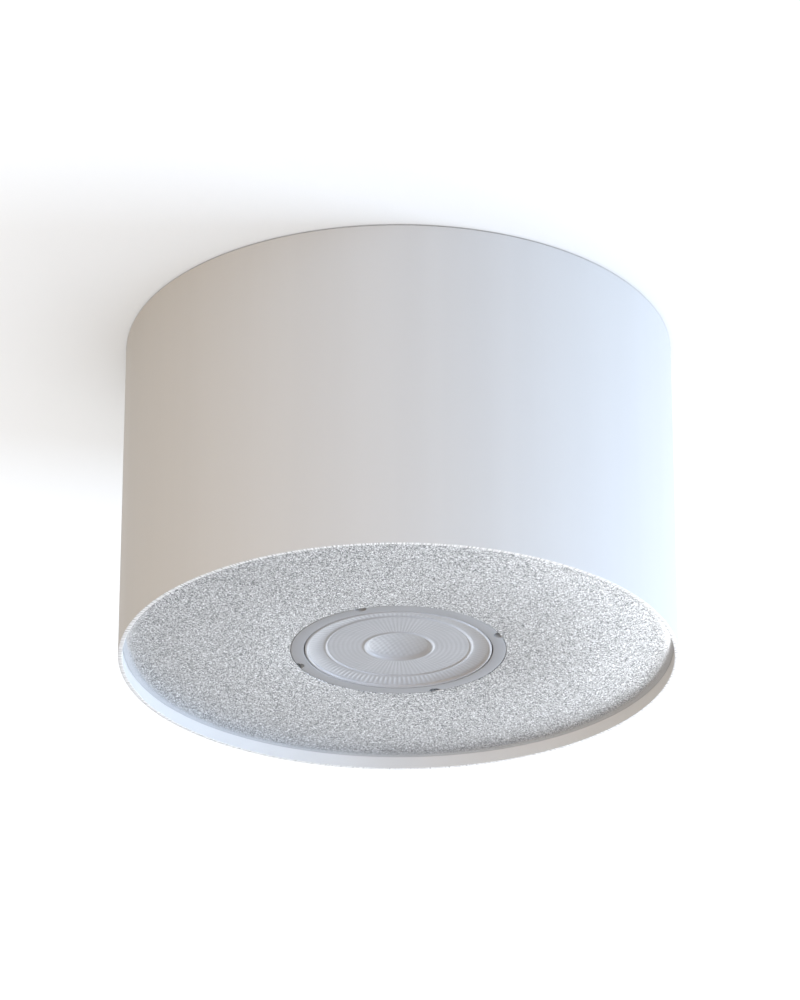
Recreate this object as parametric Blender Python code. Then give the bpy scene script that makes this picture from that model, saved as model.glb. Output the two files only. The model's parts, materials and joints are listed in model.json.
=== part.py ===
"""Surface-mounted ceiling spotlight: a round drum with a recessed face plate and one twist-in lamp.

Metres, +Z up. The origin is the centre of the face that the mounting bar lays against the ceiling,
and everything hangs below it. The drum turns on the bar's two lugs, and the lamp turns in its holder,
both about the Z axis.
"""

import math

import bmesh
import bpy
from mathutils import Matrix, Vector

MM = 0.001

# Clearances
GAP = 0.3 * MM
HOLE_CLEARANCE = 0.3 * MM
WELD = 0.001 * MM
OVERCUT = 1.0 * MM

# Facet counts
DRUM_STEPS = 64
LAMP_STEPS = 48
LENS_STEPS = 54
SMALL_STEPS = 12
SCREW_STEPS = 10
ARC_STEPS = 8
BEND_STEPS = 4
BEVEL_STEPS = 2
SHARP_ANGLE = math.radians(35.0)

# Drum
DRUM_DIAMETER = 130.0 * MM
DRUM_HEIGHT = 80.0 * MM
DRUM_WALL = 1.0 * MM
DRUM_EDGE_CHAMFER = 0.2 * MM

# Face plate
PLATE_RECESS = 2.9 * MM
PLATE_THICKNESS = 1.0 * MM
PLATE_HOLE_GAP = 0.4 * MM
STUD_DIAMETER = 2.8 * MM
STUD_LENGTH = 8.0 * MM
STUD_ROOT = 0.4 * MM

# Mounting bar and the bayonet that hangs the drum on it
BAR_WIDTH = 24.0 * MM
BAR_THICKNESS = 1.2 * MM
BAR_BEND = 1.0 * MM
BAR_SLOT_WIDTH = 5.2 * MM
BAR_SLOT_LENGTH = 16.0 * MM
BAR_SLOT_SPACING = 54.0 * MM
LUG_OVERLAP = 5.0 * MM
BAYONET_SIDE_GAP = 1.0 * MM
WINDOW_MARGIN = math.radians(3.0)
DRUM_TWIST = math.radians(40.0)

# Ring welded inside the drum, with two windows for the lugs
RING_DROP = 4.5 * MM
RING_WIDTH = 13.7 * MM
RING_THICKNESS = 1.0 * MM
RING_LIP = 4.5 * MM

# Pillars between the ring and the face plate
PILLAR_DIAMETER = 5.5 * MM
PILLAR_BORE = 3.4 * MM
PILLAR_ANGLES = tuple(math.radians(angle) for angle in (90.0, 210.0, 330.0))

# Pan-head screws
SCREW_DIAMETER = 2.8 * MM
SCREW_HEAD_DIAMETER = 5.2 * MM
SCREW_HEAD_HEIGHT = 1.8 * MM
SCREW_HEAD_ROUND = 0.6 * MM
RECESS_LENGTH = 2.8 * MM
RECESS_WIDTH = 0.8 * MM
RECESS_DEPTH = 1.0 * MM
PILLAR_SCREW_LENGTH = 8.0 * MM
BRACKET_SCREW_LENGTH = 5.0 * MM
HOLDER_SCREW_LENGTH = 12.0 * MM

# Bracket that carries the lampholder and the terminal block
BRACKET_WIDTH = 14.0 * MM
BRACKET_THICKNESS = 1.2 * MM
BRACKET_BEND = 1.0 * MM
WIRING_SPACE = 6.0 * MM

# Lampholder
HOLDER_LENGTH = 32.0 * MM
HOLDER_WIDTH = 18.0 * MM
HOLDER_HEIGHT = 13.0 * MM
HOLDER_FRONT = 2.7 * MM
HOLDER_SCREW_SPACING = 24.0 * MM
HOLDER_POCKET_WALL = 1.1 * MM
HOLDER_CORE = 2.0 * MM
CAP_THICKNESS = 2.0 * MM
CONTACT_THICKNESS = 0.4 * MM
CONTACT_WIDTH = 4.0 * MM

# Lamp
LAMP_FACE_DIAMETER = 50.0 * MM
LAMP_TWIST = math.radians(30.0)
PIN_SPACING = 10.0 * MM
PIN_DIAMETER = 3.0 * MM
PIN_HEAD_DIAMETER = 4.8 * MM
PIN_HEAD_HEIGHT = 3.6 * MM
PIN_HEAD_ROUND = 0.6 * MM
PIN_ROOT = 3.4 * MM

# Lamp bezel, the grey ring round the lens
BEZEL_WIDTH = 3.0 * MM
BEZEL_THICKNESS = 1.6 * MM
BEZEL_SKIRT = 4.0 * MM
BEZEL_SKIRT_WALL = 1.0 * MM
NOTCH_RADIUS = 1.45 * MM
NOTCH_COUNT = 4
NOTCH_ANGLE = math.radians(-20.5)

# Lens, depths measured from the lamp's face plane into the lamp
LENS_FLANGE_WIDTH = 1.6 * MM
LENS_FLANGE_THICKNESS = 1.5 * MM
LENS_BEAD_WIDTH = 1.4 * MM
LENS_BEAD_PROUD = 0.1 * MM
LENS_BEAD_STEPS = 5
LENS_SLOPE_TOP = 0.35 * MM
LENS_SLOPE_FOOT = 0.85 * MM
LENS_RIB_COUNT = 108
LENS_RIB_HEIGHT = 0.3 * MM
LENS_RIB_ENDS = (0.2, 0.8)
LENS_STEP_RADIUS = 16.9 * MM
LENS_STEP_WIDTH = 1.2 * MM
LENS_STEP_DEPTH = 0.5 * MM
LENS_FLOOR_DEPTH = 0.95 * MM
LENS_DISH_RADIUS = 7.4 * MM
LENS_DISH_EDGE = 0.8 * MM
LENS_DISH_DEPTH = 2.2 * MM
LENS_DISH_START = math.radians(20.0)
LENS_DISH_STEPS = 4
LENS_DEPTH = 15.2 * MM
LENS_CUP_DIAMETER = 11.6 * MM
LENS_CUP_DEPTH = 3.6 * MM
LENS_CUP_RIM = 1.2 * MM

# Lamp body
BODY_WALL = 2.4 * MM
BODY_NECK_DIAMETER = 25.0 * MM
BODY_NECK_HEIGHT = 4.0 * MM
BODY_FLOOR = 5.0 * MM
BODY_FIN_DEPTH = 1.2 * MM
BODY_CURVE_STEPS = 7
FIN_PITCH_STEPS = 4
BASE_HEIGHT = 11.6 * MM
BASE_WALL = 1.8 * MM
BASE_CROWN = 4.6 * MM
BASE_TOP_DIAMETER = 19.2 * MM

# Light source and driver inside the lamp
LED_BOARD_DIAMETER = 34.0 * MM
LED_BOARD_THICKNESS = 1.6 * MM
LED_DIAMETER = 10.0 * MM
LED_THICKNESS = 1.0 * MM
DRIVER_BOARD_WIDTH = 17.0 * MM
DRIVER_BOARD_THICKNESS = 1.2 * MM
DRIVER_HEAD_ROOM = 2.0 * MM
COIL_SIZE = (7.0 * MM, 5.0 * MM, 7.0 * MM)
CAPACITOR_DIAMETER = 5.0 * MM
CAPACITOR_LENGTH = 9.0 * MM

# Terminal block and its leads
BLOCK_LENGTH = 26.0 * MM
BLOCK_WIDTH = 16.0 * MM
BLOCK_HEIGHT = 14.0 * MM
BLOCK_BEVEL = 0.8 * MM
POLE_PITCH = 8.5 * MM
POLE_COUNT = 3
POLE_DEPTH = 5.6 * MM
TUBE_DIAMETER = 4.2 * MM
TUBE_BORE = 2.8 * MM
TUBE_INSET = 0.5 * MM
CLAMP_SCREW_DIAMETER = 2.8 * MM
CLAMP_SCREW_INSET = 0.6 * MM
CLAMP_SCREW_OFFSET = 4.4 * MM
LEAD_DIAMETER = 2.0 * MM
LEAD_TUBE_ENTRY = 2.5 * MM
LEAD_EXIT = 1.5 * MM
LEAD_BOW = 5.5 * MM
LEAD_REACH = 11.0 * MM
LEAD_APPROACH = 4.0 * MM
LEAD_SAG = 0.5 * MM
LEAD_POINTS_PER_SPAN = 3
LEAD_ROUNDNESS = 2

# Radii worked out from the driving sizes
DRUM_RADIUS = DRUM_DIAMETER / 2
DRUM_INNER_RADIUS = DRUM_RADIUS - DRUM_WALL
SEAT_RADIUS = DRUM_INNER_RADIUS - GAP
RING_INNER_RADIUS = SEAT_RADIUS - RING_WIDTH
LUG_RADIUS = RING_INNER_RADIUS + LUG_OVERLAP
WINDOW_RADIUS = LUG_RADIUS + BAYONET_SIDE_GAP
LIP_INNER_RADIUS = SEAT_RADIUS - RING_THICKNESS
PILLAR_CIRCLE = (WINDOW_RADIUS + LIP_INNER_RADIUS) / 2
LAMP_RADIUS = LAMP_FACE_DIAMETER / 2
LENS_RADIUS = LAMP_RADIUS - BEZEL_WIDTH - GAP
PIN_CIRCLE = PIN_SPACING / 2
PIN_RADIUS = PIN_DIAMETER / 2
PIN_HEAD_RADIUS = PIN_HEAD_DIAMETER / 2
SCREW_HOLE_RADIUS = SCREW_DIAMETER / 2 + HOLE_CLEARANCE
POCKET_RADIUS = HOLDER_WIDTH / 2 - HOLDER_POCKET_WALL
BLOCK_DISTANCE = (HOLDER_LENGTH / 2 + WINDOW_RADIUS) / 2

# Levels, from the ceiling down to the lamp's pins, then up from the drum's rim
Z_BAR_BOTTOM = -BAR_THICKNESS
Z_RING_TOP = -RING_DROP
Z_RING_BOTTOM = Z_RING_TOP - RING_THICKNESS
Z_LUG_TOP = Z_RING_BOTTOM - GAP
Z_LUG_BOTTOM = Z_LUG_TOP - BAR_THICKNESS
Z_BRACKET_TOP = Z_LUG_BOTTOM - WIRING_SPACE
Z_BRACKET_BOTTOM = Z_BRACKET_TOP - BRACKET_THICKNESS
Z_CAP_TOP = Z_BRACKET_BOTTOM - GAP
Z_CAP_BOTTOM = Z_CAP_TOP - CAP_THICKNESS
Z_HOLDER_TOP = Z_CAP_BOTTOM - GAP
Z_HOLDER_BOTTOM = Z_HOLDER_TOP - HOLDER_HEIGHT
Z_HOLDER_FLOOR = Z_HOLDER_BOTTOM + HOLDER_FRONT
Z_LAMP_TOP = Z_HOLDER_BOTTOM - GAP
Z_PIN_SHOULDER = Z_HOLDER_FLOOR + GAP
Z_PIN_TOP = Z_PIN_SHOULDER + PIN_HEAD_HEIGHT
Z_RIM = -DRUM_HEIGHT
Z_PLATE_FACE = Z_RIM + PLATE_RECESS
Z_PLATE_BACK = Z_PLATE_FACE + PLATE_THICKNESS
Z_LAMP_FACE = Z_PLATE_FACE
Z_BEZEL_BACK = Z_LAMP_FACE + BEZEL_THICKNESS
Z_SKIRT_TOP = Z_BEZEL_BACK + BEZEL_SKIRT
Z_FLANGE_FRONT = Z_BEZEL_BACK + GAP
Z_FLANGE_BACK = Z_FLANGE_FRONT + LENS_FLANGE_THICKNESS
Z_BODY_FRONT = Z_FLANGE_BACK + GAP
Z_BASE_BOTTOM = Z_LAMP_TOP - BASE_HEIGHT
Z_BODY_TOP = Z_BASE_BOTTOM - GAP
Z_NECK = Z_BODY_TOP - BODY_NECK_HEIGHT
Z_LENS_BACK = Z_LAMP_FACE + LENS_DEPTH
Z_LED_FRONT = Z_LENS_BACK + GAP
Z_LED_BACK = Z_LED_FRONT + LED_THICKNESS
Z_LED_BOARD_FRONT = Z_LED_BACK + GAP
Z_LED_BOARD_BACK = Z_LED_BOARD_FRONT + LED_BOARD_THICKNESS
Z_BODY_SEAT = Z_LED_BOARD_BACK + GAP
Z_BODY_FLOOR = Z_BODY_SEAT + BODY_FLOOR
Z_BASE_CROWN = Z_LAMP_TOP - BASE_CROWN
Z_BLOCK_TOP = Z_CAP_TOP
Z_BLOCK_BOTTOM = Z_BLOCK_TOP - BLOCK_HEIGHT
Z_POLE = Z_BLOCK_TOP - POLE_DEPTH


class Finish:
    """One painted, moulded or metal surface: colour, roughness and how metallic it is."""

    def __init__(self, name, colour, roughness, metallic=0.0):
        self.material = bpy.data.materials.new(name)
        self.material.use_nodes = True
        shader = self.material.node_tree.nodes["Principled BSDF"]
        shader.inputs["Base Color"].default_value = (*colour, 1.0)
        shader.inputs["Roughness"].default_value = roughness
        shader.inputs["Metallic"].default_value = metallic


def clear_scene():
    """Remove every object of the open scene."""
    for item in list(bpy.data.objects):
        bpy.data.objects.remove(item, do_unlink=True)


def tidy(mesh):
    """Merge doubled points and turn the faces outwards."""
    bmesh.ops.remove_doubles(mesh, verts=mesh.verts, dist=WELD)
    bmesh.ops.recalc_face_normals(mesh, faces=mesh.faces)


def add_piece(name, mesh, finish, parent=None):
    """Make one named object from a bmesh."""
    tidy(mesh)
    data = bpy.data.meshes.new(name)
    mesh.to_mesh(data)
    mesh.free()
    data.shade_smooth()
    data.set_sharp_from_angle(angle=SHARP_ANGLE)
    piece = bpy.data.objects.new(name, data)
    piece.data.materials.append(finish.material)
    piece.parent = parent
    bpy.context.scene.collection.objects.link(piece)
    return piece


def add_tool(name, mesh, parent):
    """Make a hidden shape that cuts or joins another piece."""
    tidy(mesh)
    data = bpy.data.meshes.new(name)
    mesh.to_mesh(data)
    mesh.free()
    tool = bpy.data.objects.new(name, data)
    tool.parent = parent
    tool.hide_render = True
    tool.display_type = "WIRE"
    bpy.context.scene.collection.objects.link(tool)
    return tool


def combine(piece, mesh, operation):
    """Join a shape to a piece, or cut it out of the piece, with a Boolean."""
    name = f"{piece.name}.{operation.lower()}.{len(piece.modifiers)}"
    modifier = piece.modifiers.new(name, "BOOLEAN")
    modifier.operation = operation
    modifier.solver = "EXACT"
    modifier.object = add_tool(name, mesh, piece.parent)


def lathe(profile, steps, closed):
    """Turn a profile of (radius, height) points about Z; closed joins its last point to its first."""
    mesh = bmesh.new()
    points = [mesh.verts.new((radius, 0.0, height)) for radius, height in profile]
    edges = [mesh.edges.new(pair) for pair in zip(points, points[1:])]
    if closed:
        edges.append(mesh.edges.new((points[-1], points[0])))
    bmesh.ops.spin(mesh, geom=points + edges, axis=(0, 0, 1), cent=(0, 0, 0),
                   angle=math.tau, steps=steps, use_merge=True)
    tidy(mesh)
    return mesh


def prism(outline, low, high):
    """Extrude an outline of (x, y) points from one height to another."""
    mesh = bmesh.new()
    face = mesh.faces.new([mesh.verts.new((x, y, low)) for x, y in outline])
    grown = bmesh.ops.extrude_face_region(mesh, geom=[face], use_keep_orig=True)
    moved = [item for item in grown["geom"] if isinstance(item, bmesh.types.BMVert)]
    bmesh.ops.translate(mesh, verts=moved, vec=(0, 0, high - low))
    tidy(mesh)
    return mesh


def round_bar(radius, low, high, steps=SMALL_STEPS):
    """Make a plain round bar along Z."""
    return lathe([(0, high), (radius, high), (radius, low), (0, low)], steps, closed=False)


def block(size, centre):
    """Make a rectangular block."""
    mesh = bmesh.new()
    bmesh.ops.create_cube(mesh, size=1.0)
    bmesh.ops.scale(mesh, verts=mesh.verts, vec=size)
    bmesh.ops.translate(mesh, verts=mesh.verts, vec=centre)
    return mesh


def moved(mesh, offset):
    """Shift a bmesh and return it."""
    bmesh.ops.translate(mesh, verts=mesh.verts, vec=offset)
    return mesh


def turned(mesh, angle, axis="Z"):
    """Turn a bmesh about an axis through the origin and return it."""
    bmesh.ops.rotate(mesh, verts=mesh.verts, cent=(0, 0, 0), matrix=Matrix.Rotation(angle, 3, axis))
    return mesh


def merged(meshes):
    """Put several separate bmeshes into one."""
    result = bmesh.new()
    for mesh in meshes:
        data = bpy.data.meshes.new("merge")
        mesh.to_mesh(data)
        mesh.free()
        result.from_mesh(data)
        bpy.data.meshes.remove(data)
    return result


def on_circle(radius, angle):
    """Give the (x, y) point of a circle round the Z axis."""
    return radius * math.cos(angle), radius * math.sin(angle)


def arc(radius, start, end, steps=ARC_STEPS, centre=(0.0, 0.0)):
    """List points along an arc, both ends included."""
    points = []
    for step in range(steps + 1):
        x, y = on_circle(radius, start + (end - start) * step / steps)
        points.append((centre[0] + x, centre[1] + y))
    return points


def sector(inner, outer, start, end):
    """Outline a piece of a flat ring between two angles."""
    return arc(outer, start, end) + arc(inner, end, start)


def stadium(length, width):
    """Outline a round-ended bar along X."""
    reach = (length - width) / 2
    right = arc(width / 2, -math.pi / 2, math.pi / 2, centre=(reach, 0.0))
    left = arc(width / 2, math.pi / 2, 3 * math.pi / 2, centre=(-reach, 0.0))
    return right + left


def round_bends(path, radius):
    """Replace each inner corner of an (x, z) path by an arc."""
    points = [Vector(path[0])]
    for before, corner, after in zip(path, path[1:], path[2:]):
        corner = Vector(corner)
        inward = (Vector(before) - corner).normalized()
        outward = (Vector(after) - corner).normalized()
        half = inward.angle(outward) / 2
        reach = radius / math.tan(half)
        centre = corner + (inward + outward).normalized() * (radius / math.sin(half))
        start = corner + inward * reach - centre
        sweep = start.angle_signed(corner + outward * reach - centre)
        for step in range(BEND_STEPS + 1):
            turn = Matrix.Rotation(-sweep * step / BEND_STEPS, 2)
            points.append(centre + turn @ start)
    points.append(Vector(path[-1]))
    return points


def bent_strip(path, thickness, width, bend):
    """Fold a flat strip along the (x, z) middle line of its thickness; its width lies along Y."""
    line = round_bends(path, bend + thickness / 2)
    left = []
    right = []
    for index, point in enumerate(line):
        behind = line[max(index - 1, 0)]
        ahead = line[min(index + 1, len(line) - 1)]
        along = (ahead - behind).normalized()
        side = Vector((-along.y, along.x)) * (thickness / 2)
        left.append(point + side)
        right.append(point - side)
    outline = [(point.x, point.y) for point in left + right[::-1]]
    return turned(prism(outline, -width / 2, width / 2), math.pi / 2, "X")


def drill(piece, centres, radius, low, high):
    """Cut upright round holes of one radius through a piece."""
    tools = []
    for x, y in centres:
        tools.append(moved(round_bar(radius, low, high), (x, y, 0)))
    combine(piece, merged(tools), "DIFFERENCE")


def add_pan_screw(name, place, seat, length, finish, parent, up=1.0):
    """Make a pan-head screw whose head stands on the seat, upwards for up=1, downwards for -1."""
    head = SCREW_HEAD_DIAMETER / 2
    shank = SCREW_DIAMETER / 2
    top = seat + up * SCREW_HEAD_HEIGHT
    profile = [
        (0, top),
        (head - SCREW_HEAD_ROUND, top),
        (head, top - up * SCREW_HEAD_ROUND),
        (head, seat),
        (shank, seat),
        (shank, seat - up * length),
        (0, seat - up * length),
    ]
    screw = add_piece(name, moved(lathe(profile, SCREW_STEPS, closed=False), (*place, 0)), finish, parent)
    outline = []
    reach = RECESS_LENGTH / 2
    half = RECESS_WIDTH / 2
    for quarter in range(4):
        turn = Matrix.Rotation(quarter * math.pi / 2, 2)
        outline += [tuple(turn @ Vector(point)) for point in ((half, half), (half, reach), (-half, reach))]
    low, high = sorted((top - up * RECESS_DEPTH, top + up * OVERCUT))
    combine(screw, moved(prism(outline, low, high), (*place, 0)), "DIFFERENCE")


def axis_empty(name, parent=None):
    """Make the empty that marks a turning axis along Z at the origin."""
    empty = bpy.data.objects.new(name, None)
    empty.parent = parent
    bpy.context.scene.collection.objects.link(empty)
    return empty


def lug_half_angle():
    """Half the angle that a lug covers where it passes the ring's inner edge."""
    return math.asin(BAR_WIDTH / 2 / RING_INNER_RADIUS)


def make_mounting_bar(steel):
    """Flat bar screwed to the ceiling, its ends folded down and out as bayonet lugs."""
    corner = BAR_WIDTH / 2
    riser = math.sqrt((RING_INNER_RADIUS - BAYONET_SIDE_GAP) ** 2 - corner**2) - BAR_THICKNESS / 2
    tip = math.sqrt(LUG_RADIUS**2 - corner**2)
    top = -BAR_THICKNESS / 2
    foot = Z_LUG_TOP - BAR_THICKNESS / 2
    path = [(-tip, foot), (-riser, foot), (-riser, top), (riser, top), (riser, foot), (tip, foot)]
    bar = add_piece("mounting_bar", bent_strip(path, BAR_THICKNESS, BAR_WIDTH, BAR_BEND), steel)
    slots = []
    for side in (-1, 1):
        slot = prism(stadium(BAR_SLOT_LENGTH, BAR_SLOT_WIDTH), Z_BAR_BOTTOM - OVERCUT, OVERCUT)
        slots.append(moved(slot, (side * BAR_SLOT_SPACING / 2, 0, 0)))
    combine(bar, merged(slots), "DIFFERENCE")


def make_drum(paint, parent):
    """Round tube, open at both ends, with broken edges."""
    edge = DRUM_EDGE_CHAMFER
    top = -GAP
    profile = [
        (DRUM_RADIUS - edge, top),
        (DRUM_RADIUS, top - edge),
        (DRUM_RADIUS, Z_RIM + edge),
        (DRUM_RADIUS - edge, Z_RIM),
        (DRUM_INNER_RADIUS + edge, Z_RIM),
        (DRUM_INNER_RADIUS, Z_RIM + edge),
        (DRUM_INNER_RADIUS, top - edge),
        (DRUM_INNER_RADIUS + edge, top),
    ]
    add_piece("drum", lathe(profile, DRUM_STEPS, closed=True), paint, parent)


def make_top_ring(steel, parent):
    """Pressed ring with a turned-down lip; two windows let the bar's lugs pass."""
    profile = [
        (RING_INNER_RADIUS, Z_RING_TOP),
        (SEAT_RADIUS, Z_RING_TOP),
        (SEAT_RADIUS, Z_RING_BOTTOM - RING_LIP),
        (LIP_INNER_RADIUS, Z_RING_BOTTOM - RING_LIP),
        (LIP_INNER_RADIUS, Z_RING_BOTTOM),
        (RING_INNER_RADIUS, Z_RING_BOTTOM),
    ]
    ring = add_piece("top_ring", lathe(profile, DRUM_STEPS, closed=True), steel, parent)
    half = lug_half_angle() + WINDOW_MARGIN
    windows = []
    for side in (0.0, math.pi):
        outline = sector(RING_INNER_RADIUS - OVERCUT, WINDOW_RADIUS, -half, half)
        window = prism(outline, Z_RING_BOTTOM - OVERCUT, Z_RING_TOP + OVERCUT)
        windows.append(turned(window, side + DRUM_TWIST))
    combine(ring, merged(windows), "DIFFERENCE")
    centres = [on_circle(PILLAR_CIRCLE, angle) for angle in PILLAR_ANGLES]
    centres += [(-PILLAR_CIRCLE, 0.0), (PILLAR_CIRCLE, 0.0)]
    drill(ring, centres, SCREW_HOLE_RADIUS, Z_RING_BOTTOM - OVERCUT, Z_RING_TOP + OVERCUT)


def make_front_plate(silver, parent):
    """Flat face plate with the lamp hole and welded studs on its back."""
    profile = [
        (LAMP_RADIUS + PLATE_HOLE_GAP, Z_PLATE_BACK),
        (SEAT_RADIUS, Z_PLATE_BACK),
        (SEAT_RADIUS, Z_PLATE_FACE),
        (LAMP_RADIUS + PLATE_HOLE_GAP, Z_PLATE_FACE),
    ]
    plate = add_piece("front_plate", lathe(profile, DRUM_STEPS, closed=True), silver, parent)
    studs = []
    for angle in PILLAR_ANGLES:
        stud = round_bar(STUD_DIAMETER / 2, Z_PLATE_BACK - STUD_ROOT, Z_PLATE_BACK + STUD_LENGTH)
        studs.append(moved(stud, (*on_circle(PILLAR_CIRCLE, angle), 0)))
    combine(plate, merged(studs), "UNION")


def make_pillars(brass, zinc, parent):
    """Tubes that hang the face plate from the ring, each with its screw."""
    top = Z_RING_BOTTOM - GAP
    bottom = Z_PLATE_BACK + GAP
    outer = PILLAR_DIAMETER / 2
    bore = PILLAR_BORE / 2
    profile = [(bore, top), (outer, top), (outer, bottom), (bore, bottom)]
    for number, angle in enumerate(PILLAR_ANGLES, 1):
        place = on_circle(PILLAR_CIRCLE, angle)
        pillar = moved(lathe(profile, SMALL_STEPS, closed=True), (*place, 0))
        add_piece(f"pillar_{number}", pillar, brass, parent)
        add_pan_screw(f"pillar_screw_{number}", place, Z_RING_TOP + GAP, PILLAR_SCREW_LENGTH, zinc, parent)


def make_bracket(steel, zinc, parent):
    """Folded strip across the drum, its two feet screwed up under the ring."""
    half = BRACKET_WIDTH / 2
    riser = LUG_RADIUS + BAYONET_SIDE_GAP + BRACKET_THICKNESS / 2
    tip = math.sqrt((LIP_INNER_RADIUS - GAP) ** 2 - half**2)
    foot = Z_RING_BOTTOM - GAP - BRACKET_THICKNESS / 2
    middle = Z_BRACKET_BOTTOM + BRACKET_THICKNESS / 2
    path = [(-tip, foot), (-riser, foot), (-riser, middle), (riser, middle), (riser, foot), (tip, foot)]
    strip = bent_strip(path, BRACKET_THICKNESS, BRACKET_WIDTH, BRACKET_BEND)
    bracket = add_piece("lampholder_bracket", strip, steel, parent)
    feet = [(-PILLAR_CIRCLE, 0.0), (PILLAR_CIRCLE, 0.0)]
    drill(bracket, feet, SCREW_HOLE_RADIUS, foot - BRACKET_THICKNESS, foot + BRACKET_THICKNESS)
    half_spacing = HOLDER_SCREW_SPACING / 2
    centres = [(-half_spacing, 0.0), (half_spacing, 0.0), (BLOCK_DISTANCE, POLE_PITCH / 2)]
    drill(bracket, centres, SCREW_HOLE_RADIUS, Z_BRACKET_BOTTOM - OVERCUT, Z_BRACKET_TOP + OVERCUT)
    for number, place in enumerate(feet, 1):
        add_pan_screw(f"bracket_screw_{number}", place, Z_RING_TOP + GAP, BRACKET_SCREW_LENGTH, zinc, parent)


def pin_sweep():
    """Angles that a pin covers round the axis, from unlocked to locked, with its clearance."""
    half = math.asin((PIN_RADIUS + HOLE_CLEARANCE) / PIN_CIRCLE)
    return -LAMP_TWIST, half


def make_lampholder(ceramic, zinc, contact_metal, parent):
    """Ceramic holder: keyhole slots for the lamp's pins, pockets with sprung contacts, and a cap."""
    outline = stadium(HOLDER_LENGTH, HOLDER_WIDTH)
    holder = add_piece("lampholder", prism(outline, Z_HOLDER_BOTTOM, Z_HOLDER_TOP), ceramic, parent)
    pockets = []
    slots = []
    mouths = []
    slot_half = PIN_RADIUS + HOLE_CLEARANCE
    mouth = PIN_HEAD_RADIUS + HOLE_CLEARANCE
    start, end = pin_sweep()
    pocket_end = math.asin((PIN_HEAD_RADIUS + HOLE_CLEARANCE) / PIN_CIRCLE)
    for side in (0.0, math.pi):
        pocket = prism(sector(HOLDER_CORE, POCKET_RADIUS, -LAMP_TWIST - pocket_end, pocket_end),
                       Z_HOLDER_FLOOR, Z_HOLDER_TOP + OVERCUT)
        pockets.append(turned(pocket, side))
        slot = prism(sector(PIN_CIRCLE - slot_half, PIN_CIRCLE + slot_half, start, end),
                     Z_HOLDER_BOTTOM - OVERCUT, Z_HOLDER_FLOOR + OVERCUT)
        slots.append(turned(slot, side))
        entry = moved(round_bar(mouth, Z_HOLDER_BOTTOM - OVERCUT, Z_HOLDER_FLOOR + OVERCUT),
                      (*on_circle(PIN_CIRCLE, -LAMP_TWIST), 0))
        mouths.append(turned(entry, side))
    combine(holder, merged(pockets), "DIFFERENCE")
    combine(holder, merged(slots), "DIFFERENCE")
    combine(holder, merged(mouths), "DIFFERENCE")
    bores = []
    for side in (1, -1):
        bore = turned(round_bar(LEAD_DIAMETER / 2 + HOLE_CLEARANCE, 0.0, HOLDER_WIDTH), -math.pi / 2, "X")
        bores.append(moved(turned(bore, 0.0 if side > 0 else math.pi), (side * PIN_CIRCLE, 0, Z_POLE)))
    combine(holder, merged(bores), "DIFFERENCE")
    half_spacing = HOLDER_SCREW_SPACING / 2
    centres = [(-half_spacing, 0.0), (half_spacing, 0.0)]
    drill(holder, centres, SCREW_HOLE_RADIUS, Z_HOLDER_BOTTOM - OVERCUT, Z_HOLDER_TOP + OVERCUT)
    cap = add_piece("holder_cap", prism(outline, Z_CAP_BOTTOM, Z_CAP_TOP), ceramic, parent)
    drill(cap, centres, SCREW_HOLE_RADIUS, Z_CAP_BOTTOM - OVERCUT, Z_CAP_TOP + OVERCUT)
    for number, place in enumerate(centres, 1):
        add_pan_screw(f"holder_screw_{number}", place, Z_BRACKET_TOP + GAP, HOLDER_SCREW_LENGTH, zinc, parent)
    blade = Z_PIN_TOP + GAP + CONTACT_THICKNESS / 2
    tab = Z_CAP_BOTTOM - GAP - CONTACT_THICKNESS / 2
    outer = PIN_CIRCLE + PIN_RADIUS
    inner = PIN_CIRCLE - PIN_RADIUS
    path = [(inner, blade), (outer, blade), (outer, tab), (inner, tab)]
    for number, side in enumerate((0.0, math.pi), 1):
        strip = bent_strip(path, CONTACT_THICKNESS, CONTACT_WIDTH, CONTACT_THICKNESS)
        add_piece(f"contact_spring_{number}", turned(strip, side), contact_metal, parent)


def pole_offsets():
    """Places of the terminal block's poles along Y."""
    middle = (POLE_COUNT - 1) / 2
    return [(index - middle) * POLE_PITCH for index in range(POLE_COUNT)]


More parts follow.
